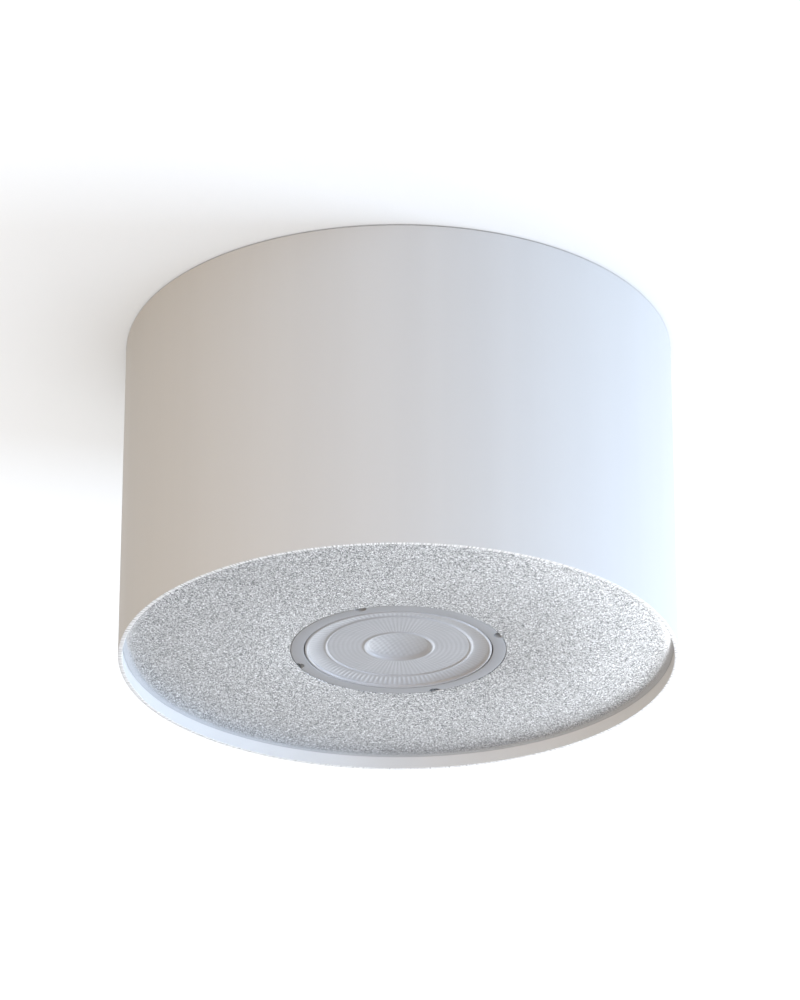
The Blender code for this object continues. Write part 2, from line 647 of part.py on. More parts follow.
def make_terminal_block(plastic, brass, zinc, parent):
    """Three-pole screw terminal: housing, brass tubes, clamp screws and the screw that holds it."""
    centre = (BLOCK_DISTANCE, 0, (Z_BLOCK_TOP + Z_BLOCK_BOTTOM) / 2)
    body = block((BLOCK_WIDTH, BLOCK_LENGTH, BLOCK_HEIGHT), centre)
    housing = add_piece("terminal_block", body, plastic, parent)
    bevel = housing.modifiers.new("edges", "BEVEL")
    bevel.width = BLOCK_BEVEL
    bevel.segments = BEVEL_STEPS
    tube = TUBE_DIAMETER / 2
    bores = []
    for offset in pole_offsets():
        bore = turned(round_bar(tube + GAP, -BLOCK_WIDTH, BLOCK_WIDTH), math.pi / 2, "Y")
        bores.append(moved(bore, (BLOCK_DISTANCE, offset, Z_POLE)))
    combine(housing, merged(bores), "DIFFERENCE")
    wells = []
    for offset in pole_offsets():
        for side in (-1, 1):
            wells.append((BLOCK_DISTANCE + side * CLAMP_SCREW_OFFSET, offset))
    drill(housing, wells, CLAMP_SCREW_DIAMETER / 2 + GAP, Z_BLOCK_BOTTOM - OVERCUT, Z_POLE)
    drill(housing, [(BLOCK_DISTANCE, POLE_PITCH / 2)], SCREW_HOLE_RADIUS,
          Z_BLOCK_BOTTOM - OVERCUT, Z_BLOCK_TOP + OVERCUT)
    reach = BLOCK_WIDTH / 2 - TUBE_INSET
    bore = TUBE_BORE / 2
    for number, offset in enumerate(pole_offsets(), 1):
        profile = [(bore, reach), (tube, reach), (tube, -reach), (bore, -reach)]
        sleeve = turned(lathe(profile, SCREW_STEPS, closed=True), math.pi / 2, "Y")
        sleeve = moved(sleeve, (BLOCK_DISTANCE, offset, Z_POLE))
        add_piece(f"terminal_tube_{number}", sleeve, brass, parent)
    for number, (x, y) in enumerate(wells, 1):
        screw = round_bar(CLAMP_SCREW_DIAMETER / 2, Z_BLOCK_BOTTOM + CLAMP_SCREW_INSET,
                          Z_POLE - tube - GAP, SCREW_STEPS)
        add_piece(f"clamp_screw_{number}", moved(screw, (x, y, 0)), zinc, parent)
    seat = Z_BLOCK_BOTTOM - GAP
    place = (BLOCK_DISTANCE, POLE_PITCH / 2)
    add_pan_screw("terminal_block_screw", place, seat, Z_BRACKET_TOP - seat, zinc, parent, up=-1.0)


def smooth_route(points):
    """Read points from a smooth curve through a route's own points."""
    padded = [points[0]] + points + [points[-1]]
    result = []
    for p0, p1, p2, p3 in zip(padded, padded[1:], padded[2:], padded[3:]):
        for step in range(LEAD_POINTS_PER_SPAN):
            t = step / LEAD_POINTS_PER_SPAN
            slope_in = (p2 - p0) / 2
            slope_out = (p3 - p1) / 2
            rise = 3 * t**2 - 2 * t**3
            result.append(p1 * (1 - rise) + p2 * rise
                          + slope_in * (t**3 - 2 * t**2 + t) + slope_out * (t**3 - t**2))
    result.append(points[-1])
    return result


def make_lead(name, points, sleeve, parent):
    """Sleeved lead from a lampholder contact to a pole of the terminal block."""
    curve = bpy.data.curves.new(name, "CURVE")
    curve.dimensions = "3D"
    curve.bevel_depth = LEAD_DIAMETER / 2
    curve.bevel_resolution = LEAD_ROUNDNESS
    curve.use_fill_caps = True
    route = smooth_route([Vector(point) for point in points])
    spline = curve.splines.new("POLY")
    spline.points.add(len(route) - 1)
    for target, point in zip(spline.points, route):
        target.co = (*point, 1.0)
    lead = bpy.data.objects.new(name, curve)
    curve.materials.append(sleeve.material)
    lead.parent = parent
    bpy.context.scene.collection.objects.link(lead)


def make_leads(live, neutral, parent):
    """Two leads that leave the holder's long sides and turn into the block's outer poles."""
    entry = BLOCK_DISTANCE - BLOCK_WIDTH / 2
    inside = entry + TUBE_INSET + LEAD_TUBE_ENTRY
    side = HOLDER_WIDTH / 2
    contact = CONTACT_WIDTH / 2 + GAP
    pole = pole_offsets()[-1]
    bow = side + LEAD_BOW
    low = Z_POLE - LEAD_SAG
    route = [
        (PIN_CIRCLE, contact, Z_POLE),
        (PIN_CIRCLE, side + LEAD_EXIT, Z_POLE),
        (PIN_CIRCLE + LEAD_APPROACH, bow, low),
        (PIN_CIRCLE + LEAD_REACH, side + LEAD_APPROACH, low),
        (entry - LEAD_APPROACH, pole + LEAD_SAG, Z_POLE),
        (entry, pole, Z_POLE),
        (inside, pole, Z_POLE),
    ]
    make_lead("live_lead", route, live, parent)
    route = [
        (-PIN_CIRCLE, -contact, Z_POLE),
        (-PIN_CIRCLE, -side - LEAD_EXIT, Z_POLE),
        (-PIN_CIRCLE + LEAD_APPROACH, -bow, low),
        (PIN_CIRCLE, -bow - LEAD_SAG, low - LEAD_SAG),
        (PIN_CIRCLE + LEAD_REACH, -side - LEAD_APPROACH, low),
        (entry - LEAD_APPROACH, -pole - LEAD_SAG, Z_POLE),
        (entry, -pole, Z_POLE),
        (inside, -pole, Z_POLE),
    ]
    make_lead("neutral_lead", route, neutral, parent)


def make_bezel(grey, parent):
    """Flat ring round the lens with a skirt behind it and four half-round notches in its edge."""
    skirt = LAMP_RADIUS - BEZEL_SKIRT_WALL
    profile = [
        (LAMP_RADIUS, Z_LAMP_FACE),
        (LAMP_RADIUS - BEZEL_WIDTH, Z_LAMP_FACE),
        (LAMP_RADIUS - BEZEL_WIDTH, Z_BEZEL_BACK),
        (skirt, Z_BEZEL_BACK),
        (skirt, Z_SKIRT_TOP),
        (LAMP_RADIUS, Z_SKIRT_TOP),
    ]
    bezel = add_piece("lamp_bezel", lathe(profile, LAMP_STEPS, closed=True), grey, parent)
    centres = []
    for index in range(NOTCH_COUNT):
        centres.append(on_circle(LAMP_RADIUS, NOTCH_ANGLE + index * math.tau / NOTCH_COUNT))
    drill(bezel, centres, NOTCH_RADIUS, Z_LAMP_FACE - OVERCUT, Z_SKIRT_TOP + OVERCUT)


def lens_slope():
    """Rows of the lens's ribbed slope, from the bead's foot to the step, with their share of the way."""
    outer = LENS_RADIUS - LENS_BEAD_WIDTH
    inner = LENS_STEP_RADIUS + LENS_STEP_WIDTH / 2
    rows = []
    for share in (0.0, *LENS_RIB_ENDS, 1.0):
        depth = LENS_SLOPE_TOP + (LENS_SLOPE_FOOT - LENS_SLOPE_TOP) * share
        rows.append((outer + (inner - outer) * share, Z_LAMP_FACE + depth))
    return rows


def lens_front():
    """Profile of the lens's front, from its rim to its middle: bead, slope, step, floor and dish."""
    face = Z_LAMP_FACE
    bead_rise = LENS_SLOPE_TOP + LENS_BEAD_PROUD
    floor = face + LENS_FLOOR_DEPTH
    points = [(LENS_RADIUS, Z_FLANGE_FRONT)]
    for x, y in arc(1.0, 0.0, math.pi, LENS_BEAD_STEPS)[:-1]:
        radius = LENS_RADIUS - LENS_BEAD_WIDTH * (1 - x) / 2
        points.append((radius, face + LENS_SLOPE_TOP - bead_rise * y))
    points += lens_slope()
    points.append((LENS_STEP_RADIUS, face + LENS_STEP_DEPTH))
    points.append((LENS_STEP_RADIUS - LENS_STEP_WIDTH / 2, floor))
    points.append((LENS_DISH_RADIUS, floor))
    dish = LENS_DISH_RADIUS - LENS_DISH_EDGE
    deep = LENS_DISH_DEPTH - LENS_FLOOR_DEPTH
    for x, y in arc(1.0, LENS_DISH_START, math.pi / 2, LENS_DISH_STEPS)[:-1]:
        points.append((dish * x, floor + deep * y))
    points.append((0.0, face + LENS_DISH_DEPTH))
    return points


def slope_row(point, rows):
    """Tell which of the slope's rows a point of the lens lies on, or None."""
    for index, (radius, height) in enumerate(rows):
        near = abs(math.hypot(point.co.x, point.co.y) - radius) < GAP
        if near and abs(point.co.z - height) < WELD:
            return index
    return None


def press_ribs(mesh):
    """Split the slope's rows finely and lift every second point between their ends into a radial rib."""
    rows = lens_slope()
    ring_edges = []
    for edge in mesh.edges:
        first, second = [slope_row(point, rows) for point in edge.verts]
        if first is not None and first == second:
            ring_edges.append(edge)
    points_round = 2 * LENS_RIB_COUNT
    bmesh.ops.subdivide_edges(mesh, edges=ring_edges, cuts=points_round // LENS_STEPS - 1, use_grid_fill=True)
    pitch = math.tau / points_round
    for point in mesh.verts:
        row = slope_row(point, rows)
        if row is None:
            continue
        place = round(math.atan2(point.co.y, point.co.x) / pitch)
        point.co.x, point.co.y = on_circle(rows[row][0], place * pitch)
        if place % 2 and 0 < row < len(rows) - 1:
            point.co.z -= LENS_RIB_HEIGHT


def make_lens(clear, parent):
    """Clear lens: ribbed front, retaining flange and a cone behind that gathers the light."""
    cup = LENS_CUP_DIAMETER / 2
    ceiling = Z_LENS_BACK - LENS_CUP_DEPTH
    back = [
        (0.0, ceiling),
        (cup, ceiling),
        (cup, Z_LENS_BACK),
        (cup + LENS_CUP_RIM, Z_LENS_BACK),
        (LENS_RADIUS - LENS_BEAD_WIDTH, Z_FLANGE_BACK),
        (LENS_RADIUS + LENS_FLANGE_WIDTH, Z_FLANGE_BACK),
        (LENS_RADIUS + LENS_FLANGE_WIDTH, Z_FLANGE_FRONT),
    ]
    mesh = lathe(back + lens_front(), LENS_STEPS, closed=False)
    press_ribs(mesh)
    add_piece("lens", mesh, clear, parent)


def make_lamp_body(shell, parent):
    """Bowl of the lamp with fins down its outside, a seat for the light source and a rear cavity."""
    spigot = LAMP_RADIUS - BEZEL_SKIRT_WALL - GAP
    neck = BODY_NECK_DIAMETER / 2
    shoulder = Z_SKIRT_TOP + GAP
    cavity = neck - BASE_WALL
    board = LED_BOARD_DIAMETER / 2 + GAP
    profile = [(0.0, Z_BODY_SEAT), (board, Z_BODY_SEAT), (board, Z_LED_BOARD_FRONT)]
    profile += [(spigot - BODY_WALL, Z_BODY_FRONT), (spigot, Z_BODY_FRONT), (spigot, shoulder)]
    bowl = Z_NECK - shoulder
    for x, y in arc(1.0, 0.0, math.pi / 2, BODY_CURVE_STEPS):
        profile.append((neck + (LAMP_RADIUS - neck) * x, shoulder + bowl * y))
    profile += [(neck, Z_BODY_TOP), (cavity, Z_BODY_TOP), (cavity, Z_BODY_FLOOR), (0.0, Z_BODY_FLOOR)]
    mesh = lathe(profile, LAMP_STEPS, closed=False)
    step = math.tau / LAMP_STEPS
    for point in mesh.verts:
        height = (point.co.z - shoulder) / bowl
        radius = math.hypot(point.co.x, point.co.y)
        if not WELD < height < 1.0 - WELD:
            continue
        outer = neck + (LAMP_RADIUS - neck) * math.sqrt(1.0 - height**2)
        in_groove = round(math.atan2(point.co.y, point.co.x) / step) % FIN_PITCH_STEPS < FIN_PITCH_STEPS / 2
        if in_groove and radius > outer - GAP:
            share = (radius - BODY_FIN_DEPTH) / radius
            point.co.x *= share
            point.co.y *= share
    add_piece("lamp_body", mesh, shell, parent)


def make_lamp_base(plastic, pin_metal, parent):
    """Plastic base with a hollow crown and the two headed pins."""
    outer = BODY_NECK_DIAMETER / 2
    inner = outer - BASE_WALL
    top = BASE_TOP_DIAMETER / 2
    profile = [
        (0.0, Z_LAMP_TOP),
        (top, Z_LAMP_TOP),
        (outer, Z_BASE_CROWN),
        (outer, Z_BASE_BOTTOM),
        (inner, Z_BASE_BOTTOM),
        (inner, Z_BASE_CROWN - BASE_WALL),
        (top - BASE_WALL, Z_BASE_CROWN),
        (0.0, Z_BASE_CROWN),
    ]
    base = add_piece("lamp_base", lathe(profile, SMALL_STEPS * 2, closed=False), plastic, parent)
    centres = [(PIN_CIRCLE, 0.0), (-PIN_CIRCLE, 0.0)]
    drill(base, centres, PIN_RADIUS + GAP, Z_LAMP_TOP - PIN_ROOT, Z_LAMP_TOP + OVERCUT)
    profile = [
        (0.0, Z_PIN_TOP),
        (PIN_HEAD_RADIUS - PIN_HEAD_ROUND, Z_PIN_TOP),
        (PIN_HEAD_RADIUS, Z_PIN_TOP - PIN_HEAD_ROUND),
        (PIN_HEAD_RADIUS, Z_PIN_SHOULDER),
        (PIN_RADIUS, Z_PIN_SHOULDER),
        (PIN_RADIUS, Z_LAMP_TOP - PIN_ROOT + GAP),
        (0.0, Z_LAMP_TOP - PIN_ROOT + GAP),
    ]
    for number, (x, y) in enumerate(centres, 1):
        pin = moved(lathe(profile, SMALL_STEPS, closed=False), (x, y, 0))
        add_piece(f"lamp_pin_{number}", pin, pin_metal, parent)


def make_light_source(board_finish, phosphor, parent):
    """Round metal-cored board on the body's seat and the light-emitting disc in front of it."""
    board = round_bar(LED_BOARD_DIAMETER / 2, Z_LED_BOARD_FRONT, Z_LED_BOARD_BACK, SMALL_STEPS * 2)
    add_piece("led_board", board, board_finish, parent)
    chip = round_bar(LED_DIAMETER / 2, Z_LED_FRONT, Z_LED_BACK, SMALL_STEPS * 2)
    add_piece("led_array", chip, phosphor, parent)


def make_driver(board_finish, coil_finish, can_finish, parent):
    """Upright driver board in the lamp's rear cavity with its coil and capacitor."""
    low = Z_BODY_FLOOR + GAP
    high = Z_BASE_CROWN - DRIVER_HEAD_ROOM
    middle = (low + high) / 2
    size = (DRIVER_BOARD_WIDTH, DRIVER_BOARD_THICKNESS, high - low)
    add_piece("driver_board", block(size, (0, 0, middle)), board_finish, parent)
    face = DRIVER_BOARD_THICKNESS / 2 + GAP
    coil = block(COIL_SIZE, (0, face + COIL_SIZE[1] / 2, middle))
    add_piece("driver_coil", coil, coil_finish, parent)
    radius = CAPACITOR_DIAMETER / 2
    can = round_bar(radius, middle - CAPACITOR_LENGTH / 2, middle + CAPACITOR_LENGTH / 2, SCREW_STEPS)
    add_piece("driver_capacitor", moved(can, (0, -face - radius, 0)), can_finish, parent)


def main():
    """Build the spotlight."""
    clear_scene()
    white = Finish("satin_white_paint", (0.80, 0.80, 0.80), 0.45)
    silver = Finish("sparkle_silver", (0.62, 0.63, 0.65), 0.42, 0.9)
    galvanised = Finish("galvanised_steel", (0.60, 0.61, 0.62), 0.45, 1.0)
    zinc = Finish("zinc_plated", (0.66, 0.66, 0.64), 0.35, 1.0)
    brass = Finish("brass", (0.72, 0.55, 0.28), 0.35, 1.0)
    ceramic = Finish("glazed_ceramic", (0.78, 0.76, 0.72), 0.40)
    nickel = Finish("nickel", (0.62, 0.60, 0.56), 0.30, 1.0)
    natural = Finish("natural_plastic", (0.72, 0.71, 0.67), 0.50)
    grey = Finish("grey_bezel", (0.38, 0.39, 0.41), 0.55)
    clear = Finish("clear_acrylic", (0.60, 0.61, 0.64), 0.12)
    shell = Finish("lamp_shell", (0.70, 0.70, 0.70), 0.50)
    base = Finish("lamp_base_plastic", (0.75, 0.75, 0.73), 0.50)
    board = Finish("circuit_board", (0.72, 0.73, 0.70), 0.50)
    phosphor = Finish("phosphor", (0.80, 0.66, 0.20), 0.60)
    dark = Finish("dark_ferrite", (0.06, 0.06, 0.07), 0.60)
    live = Finish("brown_sleeve", (0.20, 0.10, 0.05), 0.60)
    neutral = Finish("blue_sleeve", (0.06, 0.14, 0.40), 0.60)

    drum_axis = axis_empty("drum_twist_axis")
    lamp_axis = axis_empty("lamp_twist_axis", drum_axis)

    make_mounting_bar(galvanised)
    make_drum(white, drum_axis)
    make_top_ring(galvanised, drum_axis)
    make_front_plate(silver, drum_axis)
    make_pillars(brass, zinc, drum_axis)
    make_bracket(galvanised, zinc, drum_axis)
    make_lampholder(ceramic, zinc, nickel, drum_axis)
    make_terminal_block(natural, brass, zinc, drum_axis)
    make_leads(live, neutral, drum_axis)
    make_bezel(grey, lamp_axis)
    make_lens(clear, lamp_axis)
    make_lamp_body(shell, lamp_axis)
    make_lamp_base(base, nickel, lamp_axis)
    make_light_source(board, phosphor, lamp_axis)
    make_driver(board, dark, dark, lamp_axis)


main()
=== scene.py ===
"""Looks of the surface-mounted ceiling spotlight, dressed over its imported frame."""

import json
import logging
import math
from dataclasses import dataclass, field
from enum import Enum
from typing import Iterable, Optional, Protocol, Sequence

import bmesh
import bpy
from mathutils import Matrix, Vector


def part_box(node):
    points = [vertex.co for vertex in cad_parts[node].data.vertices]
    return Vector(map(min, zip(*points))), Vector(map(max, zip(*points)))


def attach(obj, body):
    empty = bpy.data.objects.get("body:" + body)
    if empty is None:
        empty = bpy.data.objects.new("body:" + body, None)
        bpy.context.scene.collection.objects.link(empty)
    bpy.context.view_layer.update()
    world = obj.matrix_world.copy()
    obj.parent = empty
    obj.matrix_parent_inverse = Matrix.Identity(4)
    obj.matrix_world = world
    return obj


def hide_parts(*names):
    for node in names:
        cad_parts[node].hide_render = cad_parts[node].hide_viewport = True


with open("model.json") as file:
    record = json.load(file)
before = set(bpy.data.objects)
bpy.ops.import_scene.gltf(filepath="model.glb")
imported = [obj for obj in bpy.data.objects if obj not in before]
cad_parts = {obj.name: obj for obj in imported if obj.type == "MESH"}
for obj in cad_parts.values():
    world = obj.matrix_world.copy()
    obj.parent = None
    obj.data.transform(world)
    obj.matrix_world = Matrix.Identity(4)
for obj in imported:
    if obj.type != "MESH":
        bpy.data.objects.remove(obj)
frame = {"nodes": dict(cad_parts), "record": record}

LOG = logging.getLogger("ceiling_spotlight")
MM = 0.001
WELD = 1e-6
SHARP_ANGLE = math.radians(40.0)
FLAT_ANGLE = math.radians(1.0)
OCTAVES = 3.0
HEX_ROW = math.sqrt(3.0) / 2.0
# Sockets of a Mix node for colours: factor, first and second in, result out.
MIX_INPUTS = (0, 6, 7)
MIX_RESULT = 2

Point2 = tuple[float, float]
Colour = tuple[float, float, float]
Stops = Sequence[tuple[float, Colour]]
Span = tuple[float, float]
Triple = tuple[float, float, float]
Socket = bpy.types.NodeSocket
Material = bpy.types.Material
Shape = bmesh.types.BMesh
Piece = bpy.types.Object

SOFT_BAND: Span = (0.35, 0.65)
WIDE_BAND: Span = (0.3, 0.7)
FULL_BAND: Span = (0.0, 1.0)


class Slot(Enum):
    """Material slots of the record."""

    PAINT = "white_paint"
    SILVER = "sparkle_silver"
    STEEL = "galvanised_steel"
    ZINC = "zinc_plated"
    BRASS = "brass"
    CERAMIC = "ceramic"
    NICKEL = "nickel"
    NYLON = "natural_plastic"
    BEZEL = "grey_bezel"
    ACRYLIC = "clear_acrylic"
    SHELL = "lamp_shell"
    BASE = "lamp_base_plastic"
    BOARD = "circuit_board"
    PHOSPHOR = "phosphor"
    FERRITE = "dark_ferrite"
    BROWN = "brown_sleeve"
    BLUE = "blue_sleeve"


class Head(Enum):
    """Way that a screw's head looks, as a sign along Z."""

    UP = 1.0
    DOWN = -1.0


class Finish(Protocol):
    """Anything that can make one material."""

    def build(self) -> Material:
        """Make the material."""


class Assembly(Protocol):
    """Anything that can make its pieces and put them in the scene."""

    def build(self) -> None:
        """Make the pieces."""


class Nodes:
    """Thin helper round one node tree."""

    def __init__(self, tree: bpy.types.NodeTree) -> None:
        """Keep the tree that the nodes go into."""
        self.tree = tree

    def add(self, kind: str, inputs: Optional[dict] = None, **settings: object) -> bpy.types.Node:
        """Add a node.

        Args:
            kind: Node type, such as ShaderNodeTexNoise.
            inputs: Socket names or numbers with a value, or an output socket to link.
            settings: Attributes of the node.

        Returns:
            The new node.
        """
        node = self.tree.nodes.new(kind)
        for key, value in settings.items():
            setattr(node, key, value)
        for key, value in (inputs or {}).items():
            if isinstance(value, Socket):
                self.tree.links.new(value, node.inputs[key])
            else:
                node.inputs[key].default_value = value
        return node

    def math(self, operation: str, *values: object) -> Socket:
        """Add a Math node on numbers or sockets, and give its result."""
        return self.add("ShaderNodeMath", dict(enumerate(values)), operation=operation).outputs[0]

    def span(self, value: Socket, limits: Span) -> Socket:
        """Map a value from 0 to 1 to the range between two limits."""
        inputs = {"Value": value, "To Min": limits[0], "To Max": limits[1]}
        return self.add("ShaderNodeMapRange", inputs, clamp=True).outputs["Result"]

    def seen_ray(self) -> Socket:
        """Tell whether a ray comes from the camera, a reflection or a clear piece.

        Returns:
            A socket of 1 for such a ray, else 0.
        """
        path = self.add("ShaderNodeLightPath").outputs
        near = self.math("MAXIMUM", path["Is Camera Ray"], path["Is Glossy Ray"])
        return self.math("MAXIMUM", near, path["Is Transmission Ray"])


class Graph(Nodes):
    """Node tree of one material round a Principled shader."""

    def __init__(self, name: str) -> None:
        """Start a material with an output and a Principled shader.

        Args:
            name: Name of the material.
        """
        self.material = bpy.data.materials.new(name)
        self.material.use_nodes = True
        super().__init__(self.material.node_tree)
        self.shader = self.tree.nodes["Principled BSDF"]
        self.output = self.tree.nodes["Material Output"]

    def set(self, socket: str, value: object) -> None:
        """Set an even value on the shader's own socket."""
        self.shader.inputs[socket].default_value = value

    def feed(self, source: Socket, socket: str) -> None:
        """Link a node's output into one of the shader's sockets."""
        self.tree.links.new(source, self.shader.inputs[socket])

    def place(self) -> Socket:
        """Give the Object coordinates."""
        return self.add("ShaderNodeTexCoord").outputs["Object"]

    def axes(self, vector: Socket) -> list[Socket]:
        """Split a vector into the sockets of x, y and z."""
        return list(self.add("ShaderNodeSeparateXYZ", {"Vector": vector}).outputs)

    def noise(self, scale: float, detail: float = 2.0, vector: Optional[Socket] = None,
              roughness: float = 0.5) -> Socket:
        """Add noise of so many cells per metre, on the Object coordinates if no others are given."""
        inputs = {"Vector": vector or self.place(), "Scale": scale, "Detail": detail, "Roughness": roughness}
        return self.add("ShaderNodeTexNoise", inputs).outputs["Fac"]

    def cells(self, scale: float, vector: Optional[Socket] = None) -> Socket:
        """Add cells, so many per metre, that each have their own even tone from 0 to 1."""
        voronoi = self.add("ShaderNodeTexVoronoi", {"Vector": vector or self.place(), "Scale": scale})
        return self.add("ShaderNodeSeparateColor", {"Color": voronoi.outputs["Color"]}).outputs[0]

    def stretched(self, scale: Sequence[float]) -> Socket:
        """Give the Object coordinates, times a factor along each axis."""
        return self.add("ShaderNodeMapping", {"Vector": self.place(), "Scale": scale}).outputs["Vector"]

    def ramp(self, value: Socket, stops: Stops) -> Socket:
        """Map a value to colours.

        Args:
            value: Socket from 0 to 1.
            stops: Positions with their colours.

        Returns:
            The colour's socket.
        """
        node = self.add("ShaderNodeValToRGB", {"Fac": value})
        elements = node.color_ramp.elements
        while len(elements) < len(stops):
            elements.new(0.5)
        for element, (position, colour) in zip(elements, stops):
            element.position = position
            element.color = (*colour, 1.0)
        return node.outputs["Color"]

    def tones(self, value: Socket, colour: Colour, factors: Span, band: Span) -> Socket:
        """Map a value to a darker and a lighter tone of one colour, between the band's two values."""
        stops = [(position, toned(colour, factor)) for position, factor in zip(band, factors)]
        return self.ramp(value, stops)

    def bump(self, height: Socket, distance: float) -> Socket:
        """Add a bump as high as the distance, in metres, and give its normal."""
        return self.add("ShaderNodeBump", {"Height": height, "Distance": distance}).outputs["Normal"]

    def mix(self, factor: Socket, first: Socket, second: Socket) -> Socket:
        """Mix two colours, where the factor is the share of the second one."""
        inputs = dict(zip(MIX_INPUTS, (factor, first, second)))
        return self.add("ShaderNodeMix", inputs, data_type="RGBA").outputs[MIX_RESULT]


def toned(colour: Colour, factor: float) -> Colour:
    """Make a linear colour lighter or darker, at most 1 in each part."""
    red, green, blue = (min(part * factor, 1.0) for part in colour)
    return red, green, blue


@dataclass(frozen=True)
class Moulding:
    """Moulded plastic, rubber or ceramic with a fine grain and a slight mottle."""

    name: str
    colour: Colour
    roughness: float = 0.5
    grain: float = 2500.0
    depth: float = 0.03 * MM
    mottle: float = 0.06
    gloss: float = 0.5
    cloud: float = 60.0
    uneven: float = 0.06

    def build(self) -> Material:
        """Make the material.

        Returns:
            The material.
        """
        graph = Graph(self.name)
        factors = (1.0 - self.mottle, 1.0 + self.mottle)
        clouds = graph.noise(self.cloud, OCTAVES)
        graph.feed(graph.tones(clouds, self.colour, factors, SOFT_BAND), "Base Color")
        fine = graph.noise(self.grain)
        limits = (self.roughness - self.uneven, self.roughness + self.uneven)
        graph.feed(graph.span(fine, limits), "Roughness")
        graph.set("Specular IOR Level", self.gloss)
        graph.feed(graph.bump(fine, self.depth), "Normal")
        return graph.material


@dataclass(frozen=True)
class Plating:
    """Plated, drawn or turned metal with fine scratches and a cloudy tone."""

    name: str
    colour: Colour
    roughness: float = 0.35
    scratch: float = 900.0
    stretch: Triple = (1.0, 0.12, 1.0)
    depth: float = 0.02 * MM
    cloud: float = 140.0
    factors: Span = (0.82, 1.0)
    uneven: Span = (-0.1, 0.12)

    def build(self) -> Material:
        """Make the material.

        Returns:
            The material.
        """
        graph = Graph(self.name)
        graph.set("Metallic", 1.0)
        lines = graph.noise(self.scratch, OCTAVES, graph.stretched(self.stretch))
        clouds = graph.noise(self.cloud, OCTAVES)
        graph.feed(graph.tones(clouds, self.colour, self.factors, WIDE_BAND), "Base Color")
        limits = (self.roughness + self.uneven[0], self.roughness + self.uneven[1])
        graph.feed(graph.span(lines, limits), "Roughness")
        graph.feed(graph.bump(lines, self.depth), "Normal")
        return graph.material


@dataclass(frozen=True)
class Galvanising:
    """Zinc-dipped sheet steel with its spangle of crystals."""

    name: str = "galvanised_sheet"
    colour: Colour = (0.60, 0.61, 0.62)
    crystal: float = 420.0
    warp: float = 700.0
    ragged: float = 1.1 * MM
    factors: Span = (0.78, 1.14)
    roughness: Span = (0.34, 0.52)
    pits: float = 1500.0
    pit_depth: float = 0.03 * MM

    def build(self) -> Material:
        """Make the material.

        Returns:
            The material.
        """
        graph = Graph(self.name)
        graph.set("Metallic", 1.0)
        place = graph.place()
        warp = graph.add("ShaderNodeTexNoise", {"Vector": place, "Scale": self.warp}).outputs["Color"]
        inputs = {0: warp, 1: (self.ragged,) * 3, 2: place}
        spot = graph.add("ShaderNodeVectorMath", inputs, operation="MULTIPLY_ADD")
        tone = graph.cells(self.crystal, spot.outputs[0])
        graph.feed(graph.tones(tone, self.colour, self.factors, FULL_BAND), "Base Color")
        graph.feed(graph.span(tone, self.roughness), "Roughness")
        graph.feed(graph.bump(graph.noise(self.pits, OCTAVES), self.pit_depth), "Normal")
        return graph.material


@dataclass(frozen=True)
class DrumPaint:
    """Satin white paint on the drum, with its lower edge left as bare turned metal."""

    bare_below: float
    name: str = "satin_white_paint"
    colour: Colour = (0.80, 0.80, 0.80)
    downward: float = -0.7
    ticks: float = 150.0
    tick_edge: float = 0.75
    tick_stops: Stops = ((0.36, (0.10, 0.10, 0.10)), (0.48, (0.66, 0.66, 0.67)), (0.58, (0.98, 0.98, 0.99)))
    bare_metal: float = 0.85
    streak: float = 90.0
    streak_stretch: Triple = (1.0, 1.0, 0.03)
    streak_factors: Span = (0.975, 1.0)
    peel: float = 900.0
    peel_depth: float = 0.025 * MM
    roughness: Span = (0.46, 0.56)
    gloss: float = 0.2

    def build(self) -> Material:
        """Make the material.

        Returns:
            The material.
        """
        graph = Graph(self.name)
        x, y, z = graph.axes(graph.place())
        normal_z = graph.axes(graph.add("ShaderNodeNewGeometry").outputs["Normal"])[2]
        faces_down = graph.math("LESS_THAN", normal_z, self.downward)
        bare = graph.math("MULTIPLY", faces_down, graph.math("LESS_THAN", z, self.bare_below))

        turn = graph.math("MULTIPLY", graph.math("ARCTAN2", y, x), self.ticks)
        along = graph.add("ShaderNodeCombineXYZ", {0: turn}).outputs[0]
        marks = graph.noise(1.0, OCTAVES, along, self.tick_edge)
        metal = graph.ramp(marks, self.tick_stops)

        streaks = graph.noise(self.streak, vector=graph.stretched(self.streak_stretch))
        paint = graph.tones(streaks, self.colour, self.streak_factors, SOFT_BAND)
        graph.feed(graph.mix(bare, paint, metal), "Base Color")
        graph.feed(graph.math("MULTIPLY", bare, self.bare_metal), "Metallic")
        peel = graph.noise(self.peel)
        graph.feed(graph.span(peel, self.roughness), "Roughness")
        graph.set("Specular IOR Level", self.gloss)
        graph.feed(graph.bump(peel, self.peel_depth), "Normal")
        return graph.material


